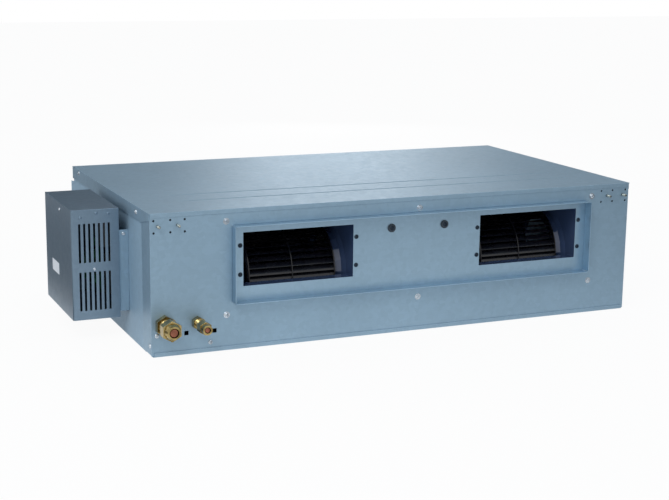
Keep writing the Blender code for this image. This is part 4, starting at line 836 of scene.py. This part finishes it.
class DUCTED_OT_stage(bpy.types.Operator):
    """Sets up the floor, the surroundings, the lights and the camera"""
    bl_idname = "ducted.stage"
    bl_label = "Stage"

    def execute(self, context):
        stage = context.scene.ducted_stage
        self.make_floor(stage)
        self.make_surroundings(context.scene, stage)
        self.make_lamp("key_light", (-2.1, -2.3, 3.0), (0.0, 0.0, 0.1), (1.5, 1.2), stage.key_power)
        self.make_lamp("rear_light", (1.3, 3.0, 0.85), (0.1, 0.0, 0.29), (0.8, 1.3), stage.rear_power)
        # These dark cards are painted shade: their tones stand in for dim surroundings in the reflections
        self.make_flag("left_flag", (-0.95, 3.1, 1.2), TO_FRONT, (3.3, 2.4), "#3E4348")
        self.make_flag("right_flag", (2.9, 2.9, 1.2), TO_FRONT, (1.6, 2.4), "#4A5056")
        self.make_flag("front_flag", (1.45, -0.95, 0.4), TO_BACK, (1.0, 0.8), "#343A40")
        self.make_flag("floor_flag", (-0.90, 0.55, 0.004), (0.0, 0.0, 1.0), (0.4, 1.7), "#3E4348")
        self.make_flag("ceiling_flag", (0.6, 1.2, 2.6), (0.0, 0.0, -1.0), (4.0, 1.3), "#4A5056")
        self.make_camera(context.scene)
        return {"FINISHED"}

    def make_floor(self, stage):
        """Pale floor: seen directly it is mostly plain white and keeps shadows. Reflections see a pool of
        light round the unit that fades with the distance, as in a studio."""
        half = stage.floor_size / 2
        mesh = bpy.data.meshes.new("floor")
        corners = [(-half, -half, 0.0), (half, -half, 0.0), (half, half, 0.0), (-half, half, 0.0)]
        mesh.from_pydata(corners, [], [(0, 1, 2, 3)])
        floor = bpy.data.objects.new("floor", mesh)
        bpy.context.scene.collection.objects.link(floor)
        finish, tree, coordinates = start_material("pale_floor")
        matt = add(tree, "ShaderNodeBsdfPrincipled", None, {
            "Base Color": shade(stage.floor_colour), "Metallic": 0.0, "Roughness": 0.9,
            "Specular IOR Level": 0.0})
        distance = add(tree, "ShaderNodeVectorMath", {"operation": "DISTANCE"}, {
            0: coordinates, 1: pool_middle})
        pool = add(tree, "ShaderNodeMapRange", None, {
            "Value": distance.outputs["Value"], "From Min": pool_fade[0], "From Max": pool_fade[1],
            "To Min": 1.0, "To Max": pool_rest})
        strength = add(tree, "ShaderNodeMath", {"operation": "MAXIMUM"}, {
            0: add(tree, "ShaderNodeLightPath").outputs["Is Camera Ray"], 1: pool})
        white = add(tree, "ShaderNodeEmission", None, {"Color": WHITE, "Strength": strength})
        share = add(tree, "ShaderNodeMath", {"operation": "MULTIPLY"}, {
            0: self.seen_directly(tree), 1: floor_whiteness})
        mix = add(tree, "ShaderNodeMixShader", None, {0: share, 1: matt, 2: white})
        add(tree, "ShaderNodeOutputMaterial", None, {"Surface": mix})
        mesh.materials.append(finish)

    def seen_directly(self, tree):
        """Node whose value is 1 for camera, glossy and transmission rays."""
        path = add(tree, "ShaderNodeLightPath")
        first = add(tree, "ShaderNodeMath", {"operation": "MAXIMUM"}, {
            0: path.outputs["Is Camera Ray"], 1: path.outputs["Is Glossy Ray"]})
        return add(tree, "ShaderNodeMath", {"operation": "MAXIMUM"}, {
            0: first, 1: path.outputs["Is Transmission Ray"]})

    def make_surroundings(self, scene, stage):
        """Even, slightly blue light from all round, which is plain white where it is seen directly."""
        world = bpy.data.worlds.new("studio")
        scene.world = world
        world.use_nodes = True
        tree = world.node_tree
        tree.nodes.clear()
        even = add(tree, "ShaderNodeBackground", None, {
            "Color": (0.90, 0.95, 1.0, 1.0), "Strength": stage.surroundings})
        white = add(tree, "ShaderNodeBackground", None, {"Color": WHITE, "Strength": 1.0})
        mix = add(tree, "ShaderNodeMixShader", None, {0: self.seen_directly(tree), 1: even, 2: white})
        add(tree, "ShaderNodeOutputWorld", None, {"Surface": mix})

    def make_lamp(self, name, place, target, size, power):
        """Rectangular lamp that faces its target."""
        data = bpy.data.lights.new(name, "AREA")
        data.shape = "RECTANGLE"
        data.size, data.size_y = size
        data.energy = power
        lamp = bpy.data.objects.new(name, data)
        lamp.location = place
        lamp.rotation_mode = "QUATERNION"
        lamp.rotation_quaternion = (Vector(target) - Vector(place)).to_track_quat("-Z", "Y")
        lamp.visible_camera = False
        bpy.context.scene.collection.objects.link(lamp)

    def make_flag(self, name, place, facing, size, tone):
        """Dark card whose tone is painted shade: it darkens the reflections in the sheet metal, and nothing
        else sees it.
        """
        across, up = size[0] / 2, size[1] / 2
        corners = np.array([(-across, -up, 0.0), (across, -up, 0.0), (across, up, 0.0), (-across, up, 0.0)])
        mesh = bpy.data.meshes.new(name)
        mesh.from_pydata(placed(corners, place, facing).tolist(), [], [(0, 1, 2, 3)])
        finish, tree, _ = start_material(name + "_painted_shade")
        end_material(tree, {"Base Color": shade(linear(tone)), "Metallic": 0.0, "Roughness": 1.0})
        mesh.materials.append(finish)
        flag = bpy.data.objects.new(name, mesh)
        bpy.context.scene.collection.objects.link(flag)
        flag.visible_camera = False
        flag.visible_diffuse = False
        flag.visible_shadow = False

    def make_camera(self, scene):
        """Camera at the fitted place: azimuth turns about +Z, then elevation, then roll about the view."""
        azimuth, elevation, roll = camera_azimuth, camera_elevation, camera_roll
        view = Vector((math.sin(azimuth) * math.cos(elevation), math.cos(azimuth) * math.cos(elevation),
                       -math.sin(elevation)))
        level = Vector((math.cos(azimuth), -math.sin(azimuth), 0.0))
        upright = level.cross(view)
        right = math.cos(roll) * level + math.sin(roll) * upright
        up = -math.sin(roll) * level + math.cos(roll) * upright
        data = bpy.data.cameras.new("camera")
        data.sensor_width = sensor_width
        data.lens = focal_pixels * sensor_width / image_width
        data.clip_start = 0.05
        camera = bpy.data.objects.new("camera", data)
        scene.collection.objects.link(camera)
        turn = Matrix((right, up, -view)).transposed().to_4x4()
        camera.matrix_world = Matrix.Translation(camera_place) @ turn
        scene.camera = camera
        scene.view_settings.view_transform = "Standard"


class DUCTED_PT_panel(bpy.types.Panel):
    """Lists the pieces and their sizes"""
    bl_label = "Ducted Unit"
    bl_idname = "DUCTED_PT_panel"
    bl_space_type = "VIEW_3D"
    bl_region_type = "UI"
    bl_category = "Ducted Unit"

    def draw(self, context):
        for operator in OPERATORS:
            self.layout.operator(operator.bl_idname)
        for name, group in GROUPS.items():
            section = self.layout.box()
            for setting in group.__annotations__:
                section.prop(getattr(context.scene, name), setting)


GROUPS = {
    "ducted_sheet": SheetMetal,
    "ducted_fasteners": Fasteners,
    "ducted_blowers": Blowers,
    "ducted_coil": Coil,
    "ducted_filter": FilterNet,
    "ducted_stage": Stage,
}
OPERATORS = (
    DUCTED_OT_stage, DUCTED_OT_casing, DUCTED_OT_screws, DUCTED_OT_hangers, DUCTED_OT_blowers,
    DUCTED_OT_coil, DUCTED_OT_unions, DUCTED_OT_control_box, DUCTED_OT_filter,
)


def register():
    for name, group in GROUPS.items():
        bpy.utils.register_class(group)
        setattr(bpy.types.Scene, name, PointerProperty(type=group))
    for operator in OPERATORS:
        bpy.utils.register_class(operator)
    bpy.utils.register_class(DUCTED_PT_panel)


def unregister():
    bpy.utils.unregister_class(DUCTED_PT_panel)
    for operator in reversed(OPERATORS):
        bpy.utils.unregister_class(operator)
    for name, group in GROUPS.items():
        delattr(bpy.types.Scene, name)
        bpy.utils.unregister_class(group)


def main():
    register()
    bpy.ops.ducted.stage()
    bpy.ops.ducted.casing()
    bpy.ops.ducted.screws()
    bpy.ops.ducted.hangers()
    bpy.ops.ducted.blowers()
    bpy.ops.ducted.coil()
    bpy.ops.ducted.unions()
    bpy.ops.ducted.control_box()
    bpy.ops.ducted.filter()


if __name__ == "__main__":
    main()
